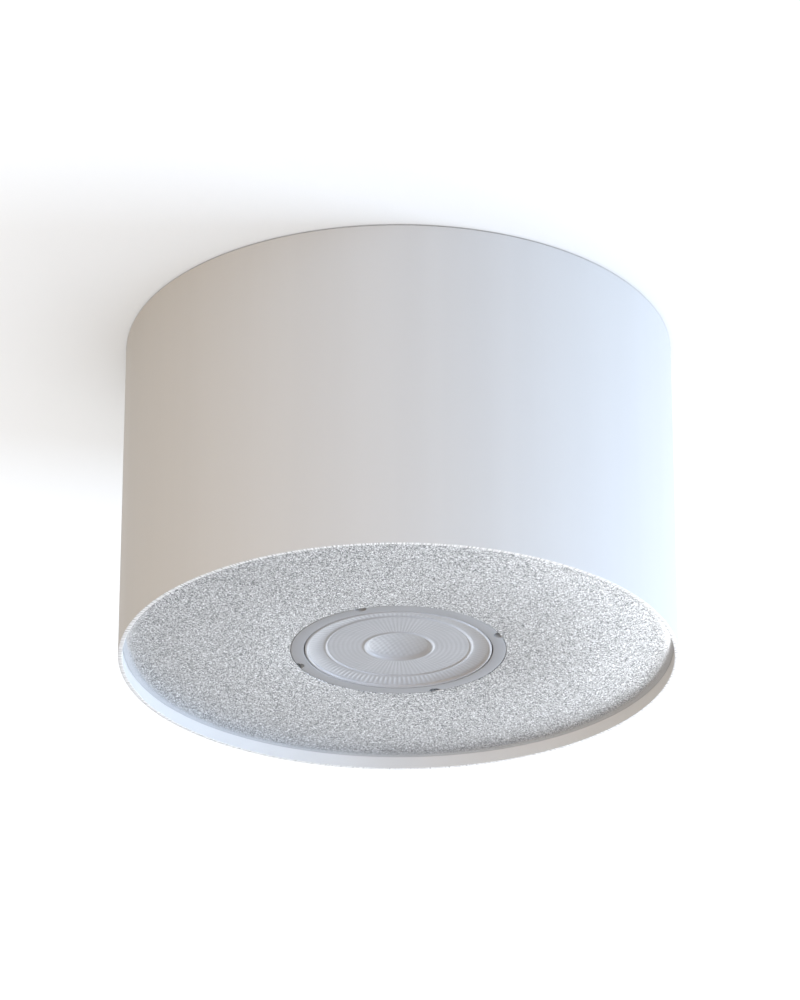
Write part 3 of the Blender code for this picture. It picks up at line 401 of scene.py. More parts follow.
@dataclass(frozen=True)
class SparkleSilver:
    """Silver face plate: every grain has its own tone and tilt, and the rolled edge is smoother, its lighter
    colour a painted reflection of the drum's wall.
    """

    radius: float
    name: str = "sparkle_silver"
    grain: float = 6000.0
    fine_share: float = 0.8
    fine_edge: float = 0.7
    weights: Span = (0.55, 0.45)
    tilt: float = 0.06 * MM
    rolled: float = 3.4 * MM
    edge: float = 0.4 * MM
    stops: Stops = ((0.30, (0.05, 0.055, 0.06)), (0.5, (0.405, 0.415, 0.435)), (0.70, (0.94, 0.95, 0.97)))
    # Lighter tone of the rolled edge: a painted reflection of the drum's white wall.
    polished_edge_reflection_colour: Colour = (0.66, 0.67, 0.69)
    polished_edge_reflection_factors: Span = (0.94, 1.0)
    metallic: float = 0.85
    rolled_roughness: float = 0.18
    grain_roughness: Span = (0.1, 0.28)

    def build(self) -> Material:
        """Make the material.

        Returns:
            The material.
        """
        graph = Graph(self.name)
        x, y, _ = graph.axes(graph.place())
        flat = graph.add("ShaderNodeCombineXYZ", {0: x, 1: y}).outputs[0]
        reach = graph.add("ShaderNodeVectorMath", {0: flat}, operation="LENGTH").outputs["Value"]
        limits = {"Value": reach, "From Min": self.radius - self.rolled, "From Max": self.radius - self.edge}
        rim = graph.add("ShaderNodeMapRange", limits, interpolation_type="SMOOTHSTEP").outputs["Result"]
        inside = graph.math("SUBTRACT", 1.0, rim)

        tone = graph.cells(self.grain)
        fine = graph.noise(self.grain * self.fine_share, OCTAVES, None, self.fine_edge)
        softer = graph.math("MULTIPLY", fine, self.weights[1])
        both = graph.math("MULTIPLY_ADD", tone, self.weights[0], softer)
        # The rolled edge's band gets a lighter, even colour as a painted reflection of the drum's wall; its
        # lower roughness is real.
        polished_edge_painted_reflection = graph.tones(fine, self.polished_edge_reflection_colour, self.polished_edge_reflection_factors, FULL_BAND)
        graph.feed(graph.mix(rim, graph.ramp(both, self.stops), polished_edge_painted_reflection), "Base Color")
        graph.set("Metallic", self.metallic)
        rough = graph.span(fine, self.grain_roughness)
        graph.feed(graph.math("MULTIPLY_ADD", inside, rough, self.rolled_roughness), "Roughness")
        graph.feed(graph.bump(graph.math("MULTIPLY", both, inside), self.tilt), "Normal")
        return graph.material


@dataclass(frozen=True)
class PrismAcrylic:
    """Clear acrylic of the lens, seen over the pale inside of the lamp."""

    name: str = "prismatic_acrylic"
    colour: Colour = (0.60, 0.59, 0.60)
    factors: Span = (0.94, 1.0)
    cloud: float = 180.0
    grain: float = 2600.0
    depth: float = 0.01 * MM
    roughness: Span = (0.20, 0.28)
    index: float = 1.49
    clearness: float = 0.12

    def build(self) -> Material:
        """Make the material.

        Returns:
            The material.
        """
        graph = Graph(self.name)
        clouds = graph.noise(self.cloud)
        graph.feed(graph.tones(clouds, self.colour, self.factors, WIDE_BAND), "Base Color")
        fine = graph.noise(self.grain)
        graph.feed(graph.span(fine, self.roughness), "Roughness")
        graph.set("IOR", self.index)
        graph.set("Transmission Weight", self.clearness)
        graph.feed(graph.bump(fine, self.depth), "Normal")
        return graph.material


FINISHES: dict[Slot, Finish] = {
    Slot.STEEL: Galvanising(),
    Slot.ZINC: Plating("zinc_plated", (0.66, 0.66, 0.64), 0.32),
    Slot.BRASS: Plating("turned_brass", (0.72, 0.55, 0.28), 0.34),
    Slot.CERAMIC: Moulding("steatite", (0.76, 0.74, 0.69), 0.42),
    Slot.NICKEL: Plating("nickel_plated", (0.62, 0.60, 0.56), 0.28),
    Slot.NYLON: Moulding("natural_nylon", (0.72, 0.71, 0.66), 0.5),
    Slot.BEZEL: Moulding("grey_bezel", (0.46, 0.45, 0.45), 0.6, grain=3200.0, depth=0.02 * MM,
                         mottle=0.03, gloss=0.2),
    Slot.ACRYLIC: PrismAcrylic(),
    Slot.SHELL: Moulding("lamp_shell", (0.70, 0.70, 0.70), 0.5),
    Slot.BASE: Moulding("lamp_base", (0.75, 0.75, 0.72), 0.48),
    Slot.BOARD: Moulding("solder_mask", (0.70, 0.71, 0.68), 0.45),
    Slot.PHOSPHOR: Moulding("phosphor", (0.78, 0.62, 0.18), 0.6),
    Slot.FERRITE: Moulding("ferrite", (0.05, 0.05, 0.06), 0.55),
    Slot.BROWN: Moulding("brown_sleeve", (0.20, 0.10, 0.05), 0.5),
    Slot.BLUE: Moulding("blue_sleeve", (0.06, 0.14, 0.40), 0.5),
}


class Workshop:
    """Keeps the made materials and puts finished pieces on the frame."""

    def __init__(self) -> None:
        """Read which body and slot every CAD node has."""
        record = frame["record"]
        groups = record["behaviour"]["bodies"]
        self.slots = {row["node"]: Slot(row["material_slot"]) for row in record["subparts"]}
        self.bodies = {node: body for body, nodes in groups.items() for node in nodes}
        self.made: dict[Slot, Material] = {}

    def material(self, slot: Slot, finish: Optional[Finish] = None) -> Material:
        """Give a slot's material, made on its first use.

        Args:
            slot: Material slot.
            finish: Finish to use in place of the listed one.

        Returns:
            The material.
        """
        if slot not in self.made:
            self.made[slot] = (finish or FINISHES[slot]).build()
        return self.made[slot]

    def add(self, name: str, mesh: Shape, node: str, finish: Optional[Finish] = None) -> Piece:
        """Make a piece that stands for one CAD node and rides on its body.

        Args:
            name: Name of the piece.
            mesh: Its mesh, freed here.
            node: CAD node that it replaces.
            finish: Finish to use in place of the slot's listed one.

        Returns:
            The new object.
        """
        slot = self.slots[node]
        body = self.bodies[node]
        piece = add_object(name, mesh, self.material(slot, finish))
        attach(piece, body)
        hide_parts(node)
        LOG.info("%s: %d faces, rides on %s", name, len(piece.data.polygons), body)
        return piece

    def dress_rest(self) -> None:
        """Give every CAD node that still shows its procedural finish."""
        for name, node in frame["nodes"].items():
            if node.hide_render:
                continue
            node.data.materials.clear()
            node.data.materials.append(self.material(self.slots[name]))
            LOG.info("%s: keeps its solid, finish %s", name, self.slots[name].value)


def lathe(profile: Sequence[Point2], steps: int, closed: bool) -> Shape:
    """Turn a profile about the Z axis.

    Args:
        profile: Points of (radius, height) in metres.
        steps: Facets round the axis.
        closed: Whether the last point joins the first.

    Returns:
        The turned mesh with its faces outwards.
    """
    mesh = bmesh.new()
    points = [mesh.verts.new((radius, 0.0, height)) for radius, height in profile]
    edges = [mesh.edges.new(pair) for pair in zip(points, points[1:])]
    if closed:
        edges.append(mesh.edges.new((points[-1], points[0])))
    bmesh.ops.spin(mesh, geom=points + edges, axis=(0, 0, 1), cent=(0, 0, 0), angle=math.tau,
                   steps=steps, use_merge=True)
    bmesh.ops.remove_doubles(mesh, verts=mesh.verts, dist=WELD)
    bmesh.ops.recalc_face_normals(mesh, faces=mesh.faces)
    return mesh


def arc(centre: Point2, radius: float, start: float, end: float, steps: int = 3) -> list[Point2]:
    """List points along an arc, both ends included.

    Args:
        centre: Middle of the arc.
        radius: Its radius.
        start: First angle in degrees.
        end: Last angle in degrees.
        steps: Facets along the arc.

    Returns:
        The points.
    """
    points = []
    for step in range(steps + 1):
        angle = math.radians(start + (end - start) * step / steps)
        points.append((centre[0] + radius * math.cos(angle), centre[1] + radius * math.sin(angle)))
    return points


def tube_profile(inner: float, outer: float, low: float, high: float, radius: float) -> list[Point2]:
    """Outline the wall of a tube or ring with rounded corners.

    Args:
        inner: Smaller radius.
        outer: Larger radius.
        low: Lower height.
        high: Upper height.
        radius: Corner radius.

    Returns:
        A closed outline, running down its outer side.
    """
    outline = arc((outer - radius, high - radius), radius, 90.0, 0.0)
    outline += arc((outer - radius, low + radius), radius, 0.0, -90.0)
    outline += arc((inner + radius, low + radius), radius, -90.0, -180.0)
    outline += arc((inner + radius, high - radius), radius, 180.0, 90.0)
    return outline


def bar_profile(outer: float, low: float, high: float, radius: float) -> list[Point2]:
    """Outline half of a round bar with rounded edges, from the top of its axis to the bottom.

    Args:
        outer: Radius of the bar.
        low: Lower height.
        high: Upper height.
        radius: Edge radius.

    Returns:
        An open outline.
    """
    outline = [(0.0, high)] + arc((outer - radius, high - radius), radius, 90.0, 0.0)
    return outline + arc((outer - radius, low + radius), radius, 0.0, -90.0) + [(0.0, low)]


def shade(data: bpy.types.Mesh) -> None:
    """Shade a mesh smooth and keep its sharp edges hard."""
    data.shade_smooth()
    data.set_sharp_from_angle(angle=SHARP_ANGLE)


def add_object(name: str, mesh: Shape, material: Material) -> Piece:
    """Make an object at the origin from a bmesh.

    Args:
        name: Name of the piece.
        mesh: Its mesh, freed here.
        material: Its finish.

    Returns:
        The new object.
    """
    data = bpy.data.meshes.new(name)
    mesh.to_mesh(data)
    mesh.free()
    shade(data)
    data.materials.append(material)
    piece = bpy.data.objects.new(name, data)
    bpy.context.scene.collection.objects.link(piece)
    return piece


def carve(piece: Piece, cutter: Shape) -> None:
    """Cut a shape out of a piece and keep only the result.

    Args:
        piece: Object to cut.
        cutter: Closed mesh to take away, freed here.
    """
    tool = add_object("carving_tool", cutter, piece.data.materials[0])
    modifier = piece.modifiers.new("carve", "BOOLEAN")
    modifier.operation = "DIFFERENCE"
    modifier.solver = "EXACT"
    modifier.object = tool
    graph = bpy.context.evaluated_depsgraph_get()
    result = bpy.data.meshes.new_from_object(piece.evaluated_get(graph))
    piece.modifiers.clear()
    piece.data = result
    shade(result)
    bpy.data.objects.remove(tool)


def join_meshes(meshes: Iterable[Shape]) -> Shape:
    """Put separate bmeshes into one.

    Args:
        meshes: Meshes to join, freed here.

    Returns:
        The joined mesh.
    """
    result = bmesh.new()
    for mesh in meshes:
        data = bpy.data.meshes.new("join")
        mesh.to_mesh(data)
        mesh.free()
        result.from_mesh(data)
        bpy.data.meshes.remove(data)
    return result


def shifted(mesh: Shape, x: float, y: float, z: float = 0.0) -> Shape:
    """Move a bmesh along the three axes and give it back."""
    bmesh.ops.translate(mesh, verts=mesh.verts, vec=(x, y, z))
    return mesh


def block(size: Sequence[float], place: Sequence[float]) -> Shape:
    """Make a box.

    Args:
        size: Its length along each axis.
        place: Its middle.

    Returns:
        The box.
    """
    mesh = bmesh.new()
    bmesh.ops.create_cube(mesh, size=1.0)
    bmesh.ops.scale(mesh, verts=mesh.verts, vec=size)
    return shifted(mesh, *place)


def copied(node: str) -> Shape:
    """Copy a CAD node with its split points merged and its flat facets joined.

    Args:
        node: Name of the CAD node.

    Returns:
        The clean copy.
    """
    mesh = bmesh.new()
    mesh.from_mesh(frame["nodes"][node].data)
    bmesh.ops.remove_doubles(mesh, verts=mesh.verts, dist=WELD)
    bmesh.ops.dissolve_limit(mesh, angle_limit=FLAT_ANGLE, verts=mesh.verts, edges=mesh.edges)
    bmesh.ops.recalc_face_normals(mesh, faces=mesh.faces)
    return mesh


def radius_of(node: str) -> float:
    """Give half of a CAD node's size along X."""
    low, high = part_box(node)
    return (high.x - low.x) / 2


def middle_of(node: str) -> Vector:
    """Give the middle of a CAD node's box."""
    low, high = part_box(node)
    return (low + high) / 2


def numbered(stem: str) -> list[str]:
    """List the CAD nodes that are named by a stem and a number."""
    return sorted(node for node in frame["nodes"] if node.rpartition("_")[0] == stem)


@dataclass
class Drum:
    """Round white drum, open at both ends."""

    shop: Workshop
    steps: int = 256
    wall: float = 1.0 * MM
    edge: float = 0.1 * MM

    def build(self) -> None:
        """Turn the drum's shell over its node."""
        low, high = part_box("drum")
        outer = radius_of("drum")
        profile = tube_profile(outer - self.wall, outer, low.z, high.z, self.edge)
        paint = DrumPaint(low.z + self.edge)
        self.shop.add("drum_shell", lathe(profile, self.steps, True), "drum", paint)


@dataclass
class FacePlate:
    """Sparkling silver plate with the lamp hole and the welded studs on its back."""

    shop: Workshop
    drum: Drum
    steps: int = 256
    thickness: float = 1.0 * MM
    hole_gap: float = 0.15 * MM
    wall_gap: float = 0.05 * MM
    edge: float = 0.06 * MM
    stud_radius: float = 1.4 * MM
    stud_edge: float = 0.3 * MM
    stud_steps: int = 32

    def build(self) -> None:
        """Turn the plate over its node, with a stud under every pillar."""
        low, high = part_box("front_plate")
        outer = radius_of("drum") - self.drum.wall - self.wall_gap
        inner = radius_of("lamp_bezel") + self.hole_gap
        back = low.z + self.thickness
        parts = [lathe(tube_profile(inner, outer, low.z, back, self.edge), self.steps, True)]
        for pillar in numbered("pillar"):
            middle = middle_of(pillar)
            profile = bar_profile(self.stud_radius, low.z + self.edge, high.z, self.stud_edge)
            parts.append(shifted(lathe(profile, self.stud_steps, False), middle.x, middle.y))
        silver = SparkleSilver(outer)
        self.shop.add("face_plate", join_meshes(parts), "front_plate", silver)


@dataclass
class LensForm:
    """Shape of the lens's front; depths run from the lamp's face plane into the lamp."""

    rim: float = 21.8 * MM
    bead_width: float = 0.9 * MM
    bead_proud: float = 0.05 * MM
    slope_top: float = 0.40 * MM
    slope_foot: float = 1.0 * MM
    step_radius: float = 16.9 * MM
    step_width: float = 0.8 * MM
    step_depth: float = 0.80 * MM
    floor_depth: float = 1.05 * MM
    dish_radius: float = 7.6 * MM
    dish_edge: float = 1.6 * MM
    dish_depth: float = 2.4 * MM
    dish_lip: float = 0.4
    lip_rise: float = 0.28 * MM
    lip_share: float = 0.7
    rib_count: int = 108
    rib_depth: float = 0.09 * MM
    lattice_count: int = 90
    lattice_pitch: float = 1.1 * MM
    lattice_depth: float = 0.03 * MM
    pillow_pitch: float = 1.15 * MM
    pillow_depth: float = 0.04 * MM
    pillow_turn: float = math.radians(20.0)
    rib_fade: float = 0.4
    row_counts: tuple[int, ...] = (12, 14, 10, 40, 14, 28)

    @property
    def bead_inner(self) -> float:
        """Radius where the bead meets the slope."""
        return self.rim - self.bead_width

    @property
    def step_outer(self) -> float:
        """Radius where the slope meets the step."""
        return self.step_radius + self.step_width / 2

    @property
    def step_inner(self) -> float:
        """Radius where the step meets the floor."""
        return self.step_radius - self.step_width / 2

    @property
    def lip_outer(self) -> float:
        """Radius where the floor begins to round into the dish."""
        return self.dish_radius + self.dish_edge / 2

    @property
    def lip_inner(self) -> float:
        """Radius where the dish itself begins."""
        return self.dish_radius - self.dish_edge / 2

    def depth(self, radius: float) -> float:
        """Depth of the plain turned surface.

        Args:
            radius: Distance from the axis.

        Returns:
            The depth in metres.
        """
        lip_drop = (self.dish_depth - self.floor_depth) * self.dish_lip
        if radius >= self.bead_inner:
            across = (radius - self.bead_inner) / self.bead_width * 2.0 - 1.0
            return self.slope_top - (self.slope_top + self.bead_proud) * math.sqrt(max(0.0, 1.0 - across**2))
        if radius >= self.step_outer:
            share = (self.bead_inner - radius) / (self.bead_inner - self.step_outer)
            return self.slope_top + (self.slope_foot - self.slope_top) * math.sin(share * math.pi / 2)
        if radius >= self.step_inner:
            across = (radius - self.step_inner) / self.step_width
            base = self.floor_depth + (self.slope_foot - self.floor_depth) * across
            return base + (self.step_depth - base) * math.sin(across * math.pi)
        if radius >= self.lip_outer:
            return self.floor_depth
        if radius >= self.lip_inner:
            share = (self.lip_outer - radius) / self.dish_edge
            swell = self.lip_rise * math.sin(math.pi * min(share / self.lip_share, 1.0))
            return self.floor_depth - swell + lip_drop * share**2
        share = radius / self.lip_inner
        return self.dish_depth - (self.dish_depth - self.floor_depth - lip_drop) * share**2

    def relief(self, radius: float, angle: float) -> float:
        """Extra depth of the ribs, the floor's lattice and the dish's pillows.

        Args:
            radius: Distance from the axis.
            angle: Angle round the axis.

        Returns:
            The extra depth in metres.
        """
        if self.step_outer < radius < self.bead_inner:
            share = (radius - self.step_outer) / (self.bead_inner - self.step_outer)
            fade = math.sin(share * math.pi) ** self.rib_fade
            return self.rib_depth * fade * abs(math.sin(angle * self.rib_count / 2))
        if self.lip_outer < radius < self.step_inner:
            turn = math.tau * radius / self.lattice_pitch
            spiral = angle * self.lattice_count
            return self.lattice_depth * math.cos((spiral + turn) / 2) * math.cos((spiral - turn) / 2)
        if radius < self.lip_inner:
            waves = math.tau * radius / self.pillow_pitch
            across = waves * math.cos(angle + self.pillow_turn)
            tilt = waves * math.sin(angle + self.pillow_turn) * HEX_ROW
            wave = math.cos(across) + math.cos(across / 2 + tilt) + math.cos(across / 2 - tilt)
            return self.pillow_depth * wave / 3.0
        return 0.0

    def front(self, face: float) -> list[Point2]:
        """List the turned profile's points, from the rim to the middle.

        Args:
            face: Height of the lamp's face plane.

        Returns:
            Points of (radius, height).
        """
        ends = (self.bead_inner, self.step_outer, self.step_inner, self.lip_outer, self.lip_inner, 0.0)
        rows = []
        start = self.rim
        for end, count in zip(ends, self.row_counts):
            rows += [start + (end - start) * step / count for step in range(count)]
            start = end
        return [(radius, face + self.depth(radius)) for radius in rows + [0.0]]


@dataclass
class LampFace:
    """The lamp's grey ring and its prismatic lens."""

    shop: Workshop
    form: LensForm = field(default_factory=LensForm)
    steps: int = 648
    ring_steps: int = 256
    ring_edge: float = 0.12 * MM
    ring_width: float = 3.0 * MM
    ring_thickness: float = 1.6 * MM
    skirt_wall: float = 1.0 * MM
    notch_radius: float = 1.45 * MM
    notch_angle: float = -20.5
    notch_count: int = 4
    notch_steps: int = 32
    overcut: float = 1.0 * MM
    flange: float = 1.5 * MM
    flange_front: float = 1.9 * MM
    flange_back: float = 3.4 * MM
    cup: float = 5.8 * MM
    cup_rim: float = 1.2 * MM
    cup_depth: float = 3.6 * MM

    def build(self) -> None:
        """Make the ring and the lens over their nodes."""
        self.build_ring()
        self.build_lens()

    def build_ring(self) -> None:
        """Turn the flat ring with its skirt and cut the half-round notches."""
        low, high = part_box("lamp_bezel")
        outer = radius_of("lamp_bezel")
        inner = outer - self.ring_width
        skirt = outer - self.skirt_wall
        back = low.z + self.ring_thickness
        edge = self.ring_edge
        profile = arc((outer - edge, low.z + edge), edge, 0.0, -90.0)
        profile += arc((inner + edge, low.z + edge), edge, -90.0, -180.0)
        profile += [(inner, back), (skirt, back), (skirt, high.z), (outer, high.z)]
        ring = self.shop.add("bezel_ring", lathe(profile, self.ring_steps, True), "lamp_bezel")
        top = high.z + self.overcut
        bottom = low.z - self.overcut
        tools = []
        for index in range(self.notch_count):
            angle = math.radians(self.notch_angle + index * 360.0 / self.notch_count)
            tool = lathe(bar_profile(self.notch_radius, bottom, top, edge), self.notch_steps, False)
            tools.append(shifted(tool, outer * math.cos(angle), outer * math.sin(angle)))
        carve(ring, join_meshes(tools))

    def build_lens(self) -> None:
        """Turn the lens and press its ribs, lattice and pillows into the front."""
        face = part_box("lamp_bezel")[0].z
        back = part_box("lens")[1].z
        form = self.form
        rim = form.rim + self.flange
        profile = [(0.0, back - self.cup_depth), (self.cup, back - self.cup_depth), (self.cup, back)]
        profile += [(self.cup + self.cup_rim, back), (form.bead_inner, face + self.flange_back)]
        profile += [(rim, face + self.flange_back), (rim, face + self.flange_front)]
        profile += [(form.rim, face + self.flange_front)]
        mesh = lathe(profile + form.front(face), self.steps, False)
        for point in mesh.verts:
            radius = math.hypot(point.co.x, point.co.y)
            if radius < form.bead_inner and point.co.z < face + form.dish_depth + WELD:
                point.co.z += form.relief(radius, math.atan2(point.co.y, point.co.x))
        self.shop.add("prism_lens", mesh, "lens")


@dataclass
class LampShell:
    """Finned bowl of the lamp, its base and the two headed pins."""

    shop: Workshop
    steps: int = 192
    fin_count: int = 12
    fin_start: float = math.radians(3.75)
    fin_depth: float = 1.2 * MM
    fin_squareness: float = 4.0
    front_wall: float = 2.4 * MM
    spigot_height: float = 2.2 * MM
    spigot_inset: float = 1.3 * MM
    neck_height: float = 4.0 * MM
    board_front: float = 13.1 * MM
    seat_height: float = 15.0 * MM
    seat_radius: float = 17.3 * MM
    floor: float = 5.0 * MM
    edge: float = 0.3 * MM
    curve_steps: int = 24
    crown: float = 4.6 * MM
    crown_slope: float = 35.0
    top_radius: float = 9.6 * MM
    rear_wall: float = 1.8 * MM
    pin_steps: int = 40
    pin_radius: float = 1.5 * MM
    pin_gap: float = 0.3 * MM
    pin_head: float = 3.6 * MM
    pin_edge: float = 0.6 * MM

    def build(self) -> None:
        """Make the bowl, the base and the pins over their nodes."""
        self.build_bowl()
        self.build_base()
        self.build_pins()

    def build_bowl(self) -> None:
        """Turn the bowl with its board seat and rear cavity, and press the grooves between its fins."""
        low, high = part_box("lamp_body")
        outer = radius_of("lamp_body")
        neck = radius_of("lamp_base")
        spigot = outer - self.spigot_inset
        shoulder = low.z + self.spigot_height
        seat = low.z + self.seat_height
        rise = high.z - self.neck_height - shoulder
        profile = [(0.0, seat), (self.seat_radius, seat), (self.seat_radius, low.z + self.board_front)]
        profile += [(spigot - self.front_wall, low.z), (spigot, low.z), (spigot, shoulder)]
        for x, y in arc((0.0, 0.0), 1.0, 0.0, 90.0, self.curve_steps):
            profile.append((neck + (outer - neck) * x, shoulder + rise * y))
        profile += arc((neck - self.edge, high.z - self.edge), self.edge, 0.0, 90.0)
        cavity = neck - self.rear_wall
        profile += [(cavity, high.z), (cavity, seat + self.floor), (0.0, seat + self.floor)]
        mesh = lathe(profile, self.steps, False)
        for point in mesh.verts:
            share = (point.co.z - shoulder) / rise
            radius = math.hypot(point.co.x, point.co.y)
            if not WELD < share < 1.0:
                continue
            wall = neck + (outer - neck) * math.sqrt(1.0 - share**2)
            if radius > wall - self.edge:
                factor = 1.0 - self.groove(share, math.atan2(point.co.y, point.co.x)) / radius
                point.co.x *= factor
                point.co.y *= factor
        self.shop.add("lamp_bowl", mesh, "lamp_body")

    def groove(self, share: float, angle: float) -> float:
        """Depth of the grooves between the fins.

        Args:
            share: Height along the bowl, from 0 to 1.
            angle: Angle round the axis.

        Returns:
            The depth in metres.
        """
        wave = math.cos((angle - self.fin_start) * self.fin_count)
        fade = math.sqrt(math.sin(share * math.pi))
        return self.fin_depth * fade * (0.5 + 0.5 * math.tanh(self.fin_squareness * wave))

    def build_base(self) -> None:
        """Turn the base with its hollow crown and bore the holes of the pins."""
        low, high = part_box("lamp_base")
        outer = radius_of("lamp_base")
        inner = outer - self.rear_wall
        ceiling = high.z - self.crown
        edge = self.edge
        profile = [(0.0, high.z)]
        profile += arc((self.top_radius - edge, high.z - edge), edge, 90.0, self.crown_slope)
        profile += arc((outer - edge, ceiling - edge), edge, self.crown_slope, 0.0)
        profile += [(outer, low.z), (inner, low.z), (inner, ceiling - self.rear_wall)]
        profile += [(self.top_radius - self.rear_wall, ceiling), (0.0, ceiling)]
        base = self.shop.add("lamp_base_moulding", lathe(profile, self.steps, False), "lamp_base")
        for node in numbered("lamp_pin"):
            foot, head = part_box(node)
            middle = middle_of(node)
            hole = bar_profile(self.pin_radius + self.pin_gap, foot.z - self.pin_gap, head.z, edge)
            carve(base, shifted(lathe(hole, self.pin_steps, False), middle.x, middle.y))

    def build_pins(self) -> None:
        """Turn the headed pins."""
        edge = self.pin_edge
        for number, node in enumerate(numbered("lamp_pin"), 1):
            low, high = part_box(node)
            middle = middle_of(node)
            head = radius_of(node)
            shoulder = high.z - self.pin_head
            profile = [(0.0, high.z)] + arc((head - edge, high.z - edge), edge, 90.0, 0.0)
            profile += [(head, shoulder), (self.pin_radius, shoulder), (self.pin_radius, low.z), (0.0, low.z)]
            mesh = shifted(lathe(profile, self.pin_steps, False), middle.x, middle.y)
            self.shop.add(f"headed_pin_{number}", mesh, node)


@dataclass
class Screws:
    """Pan-head screws with a cross recess."""

    shop: Workshop
    steps: int = 48
    shank: float = 1.4 * MM
    head_height: float = 1.8 * MM
    crown: float = 0.25 * MM
    edge: float = 0.6 * MM
    edge_steps: int = 6
    recess_length: float = 2.8 * MM
    recess_width: float = 0.8 * MM
    recess_depth: float = 1.0 * MM
    upright: tuple[str, ...] = ("pillar_screw", "bracket_screw", "holder_screw")
    hanging: str = "terminal_block_screw"

    def build(self) -> None:
        """Make every screw over its node."""
        for stem in self.upright:
            for node in numbered(stem):
                self.build_one(node, Head.UP)
        self.build_one(self.hanging, Head.DOWN)

    def build_one(self, node: str, way: Head) -> None:
        """Turn one screw and cut its recess.

        Args:
            node: CAD node that it replaces.
            way: Way that its head looks.
        """
        low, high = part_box(node)
        middle = middle_of(node)
        head = radius_of(node)
        up = way.value
        top, tip = (high.z, low.z) if way is Head.UP else (low.z, high.z)
        seat = top - up * self.head_height
        rounded = arc((head - self.edge, 0.0), self.edge, 90.0, 0.0, self.edge_steps)
        profile = [(0.0, top)]
        profile += [(radius, top - up * (self.crown + self.edge - rise)) for radius, rise in rounded]
        profile += [(head, seat), (self.shank, seat), (self.shank, tip), (0.0, tip)]
        mesh = shifted(lathe(profile, self.steps, False), middle.x, middle.y)
        screw = self.shop.add(f"{node}_turned", mesh, node)
        for size in ((self.recess_length, self.recess_width), (self.recess_width, self.recess_length)):
            carve(screw, block((*size, self.recess_depth * 2), (middle.x, middle.y, top)))


@dataclass
class TurnedParts:
    """Pillars, terminal tubes and clamp screws, turned finely over their nodes."""

    shop: Workshop
    steps: int = 40
    edge: float = 0.2 * MM
    pillar_bore: float = 1.7 * MM
    tube_bore: float = 1.4 * MM
    slot_width: float = 0.6 * MM
    slot_depth: float = 0.7 * MM

    def build(self) -> None:
        """Make every turned part over its node."""
        self.build_pillars()
        self.build_tubes()
        self.build_clamp_screws()

    def build_pillars(self) -> None:
        """Turn the brass pillars."""
        for node in numbered("pillar"):
            low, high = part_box(node)
            middle = middle_of(node)
            profile = tube_profile(self.pillar_bore, radius_of(node), low.z, high.z, self.edge)
            mesh = shifted(lathe(profile, self.steps, True), middle.x, middle.y)
            self.shop.add(f"{node}_turned", mesh, node)

    def build_tubes(self) -> None:
        """Turn the brass terminal tubes and lay them along X."""
        for node in numbered("terminal_tube"):
            low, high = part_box(node)
            middle = middle_of(node)
            half = radius_of(node)
            profile = tube_profile(self.tube_bore, (high.z - low.z) / 2, -half, half, self.edge)
            mesh = lathe(profile, self.steps, True)
            for point in mesh.verts:
                point.co = Vector((point.co.z, point.co.y, -point.co.x)) + middle
            bmesh.ops.recalc_face_normals(mesh, faces=mesh.faces)
            self.shop.add(f"{node}_turned", mesh, node)

    def build_clamp_screws(self) -> None:
        """Turn the clamp screws and cut their driver slots right across."""
        for node in numbered("clamp_screw"):
            low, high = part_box(node)
            middle = middle_of(node)
            profile = bar_profile(radius_of(node), low.z, high.z, self.edge)
            mesh = shifted(lathe(profile, self.steps, False), middle.x, middle.y)
            screw = self.shop.add(f"{node}_turned", mesh, node)
            size = ((high.x - low.x) * 2, self.slot_width, self.slot_depth * 2)
            carve(screw, block(size, (middle.x, middle.y, low.z)))


@dataclass
class SheetAndMouldings:
    """Folded sheet, pressed ring and mouldings: copies of their solids with broken edges."""

    shop: Workshop
    segments: int = 2
    sharp: float = math.radians(30.0)
    edge_widths: tuple[tuple[str, float], ...] = (
        ("mounting_bar", 0.15 * MM),
        ("top_ring", 0.12 * MM),
        ("lampholder_bracket", 0.12 * MM),
        ("holder_cap", 0.3 * MM),
        ("lampholder", 0.2 * MM),
        ("terminal_block", 0.12 * MM),
    )

    def build(self) -> None:
        """Make every piece over its node."""
        for node, width in self.edge_widths:
            mesh = copied(node)
            edges = [edge for edge in mesh.edges if edge.is_manifold and edge.calc_face_angle() > self.sharp]
            bmesh.ops.bevel(mesh, geom=edges, offset=width, offset_type="OFFSET", segments=self.segments,
                            profile=0.5, affect="EDGES", clamp_overlap=True, material=-1)
            bmesh.ops.recalc_face_normals(mesh, faces=mesh.faces)
            self.shop.add(f"{node}_edged", mesh, node)


@dataclass
class Leads:
    """Sleeved leads, rounded over the bends of their nodes."""

    shop: Workshop
    levels: int = 2
    same_face: float = math.radians(60.0)
    nodes: tuple[str, ...] = ("live_lead", "neutral_lead")

    def build(self) -> None:
        """Round every lead."""
        for node in self.nodes:
            mesh = copied(node)
            bmesh.ops.join_triangles(mesh, faces=mesh.faces, angle_face_threshold=self.same_face,
                                     angle_shape_threshold=self.same_face)
            lead = self.shop.add(f"{node}_sleeve", mesh, node)
            smooth = lead.modifiers.new("round", "SUBSURF")
            smooth.levels = self.levels
            smooth.render_levels = self.levels


@dataclass(frozen=True)
class SoftLamp:
    """One square area lamp that looks at the middle of the drum."""

    name: str
    place: Triple
    power: float
    size: float
    colour: Colour

    def build(self, target: Vector) -> None:
        """Put the lamp in the scene.

        Args:
            target: Point that it looks at.
        """
        data = bpy.data.lights.new(self.name, "AREA")
        data.energy = self.power
        data.size = self.size
        data.color = self.colour
        lamp = bpy.data.objects.new(self.name, data)
        lamp.location = self.place
        lamp.rotation_euler = (target - Vector(self.place)).to_track_quat("-Z", "Y").to_euler()
        bpy.context.scene.collection.objects.link(lamp)


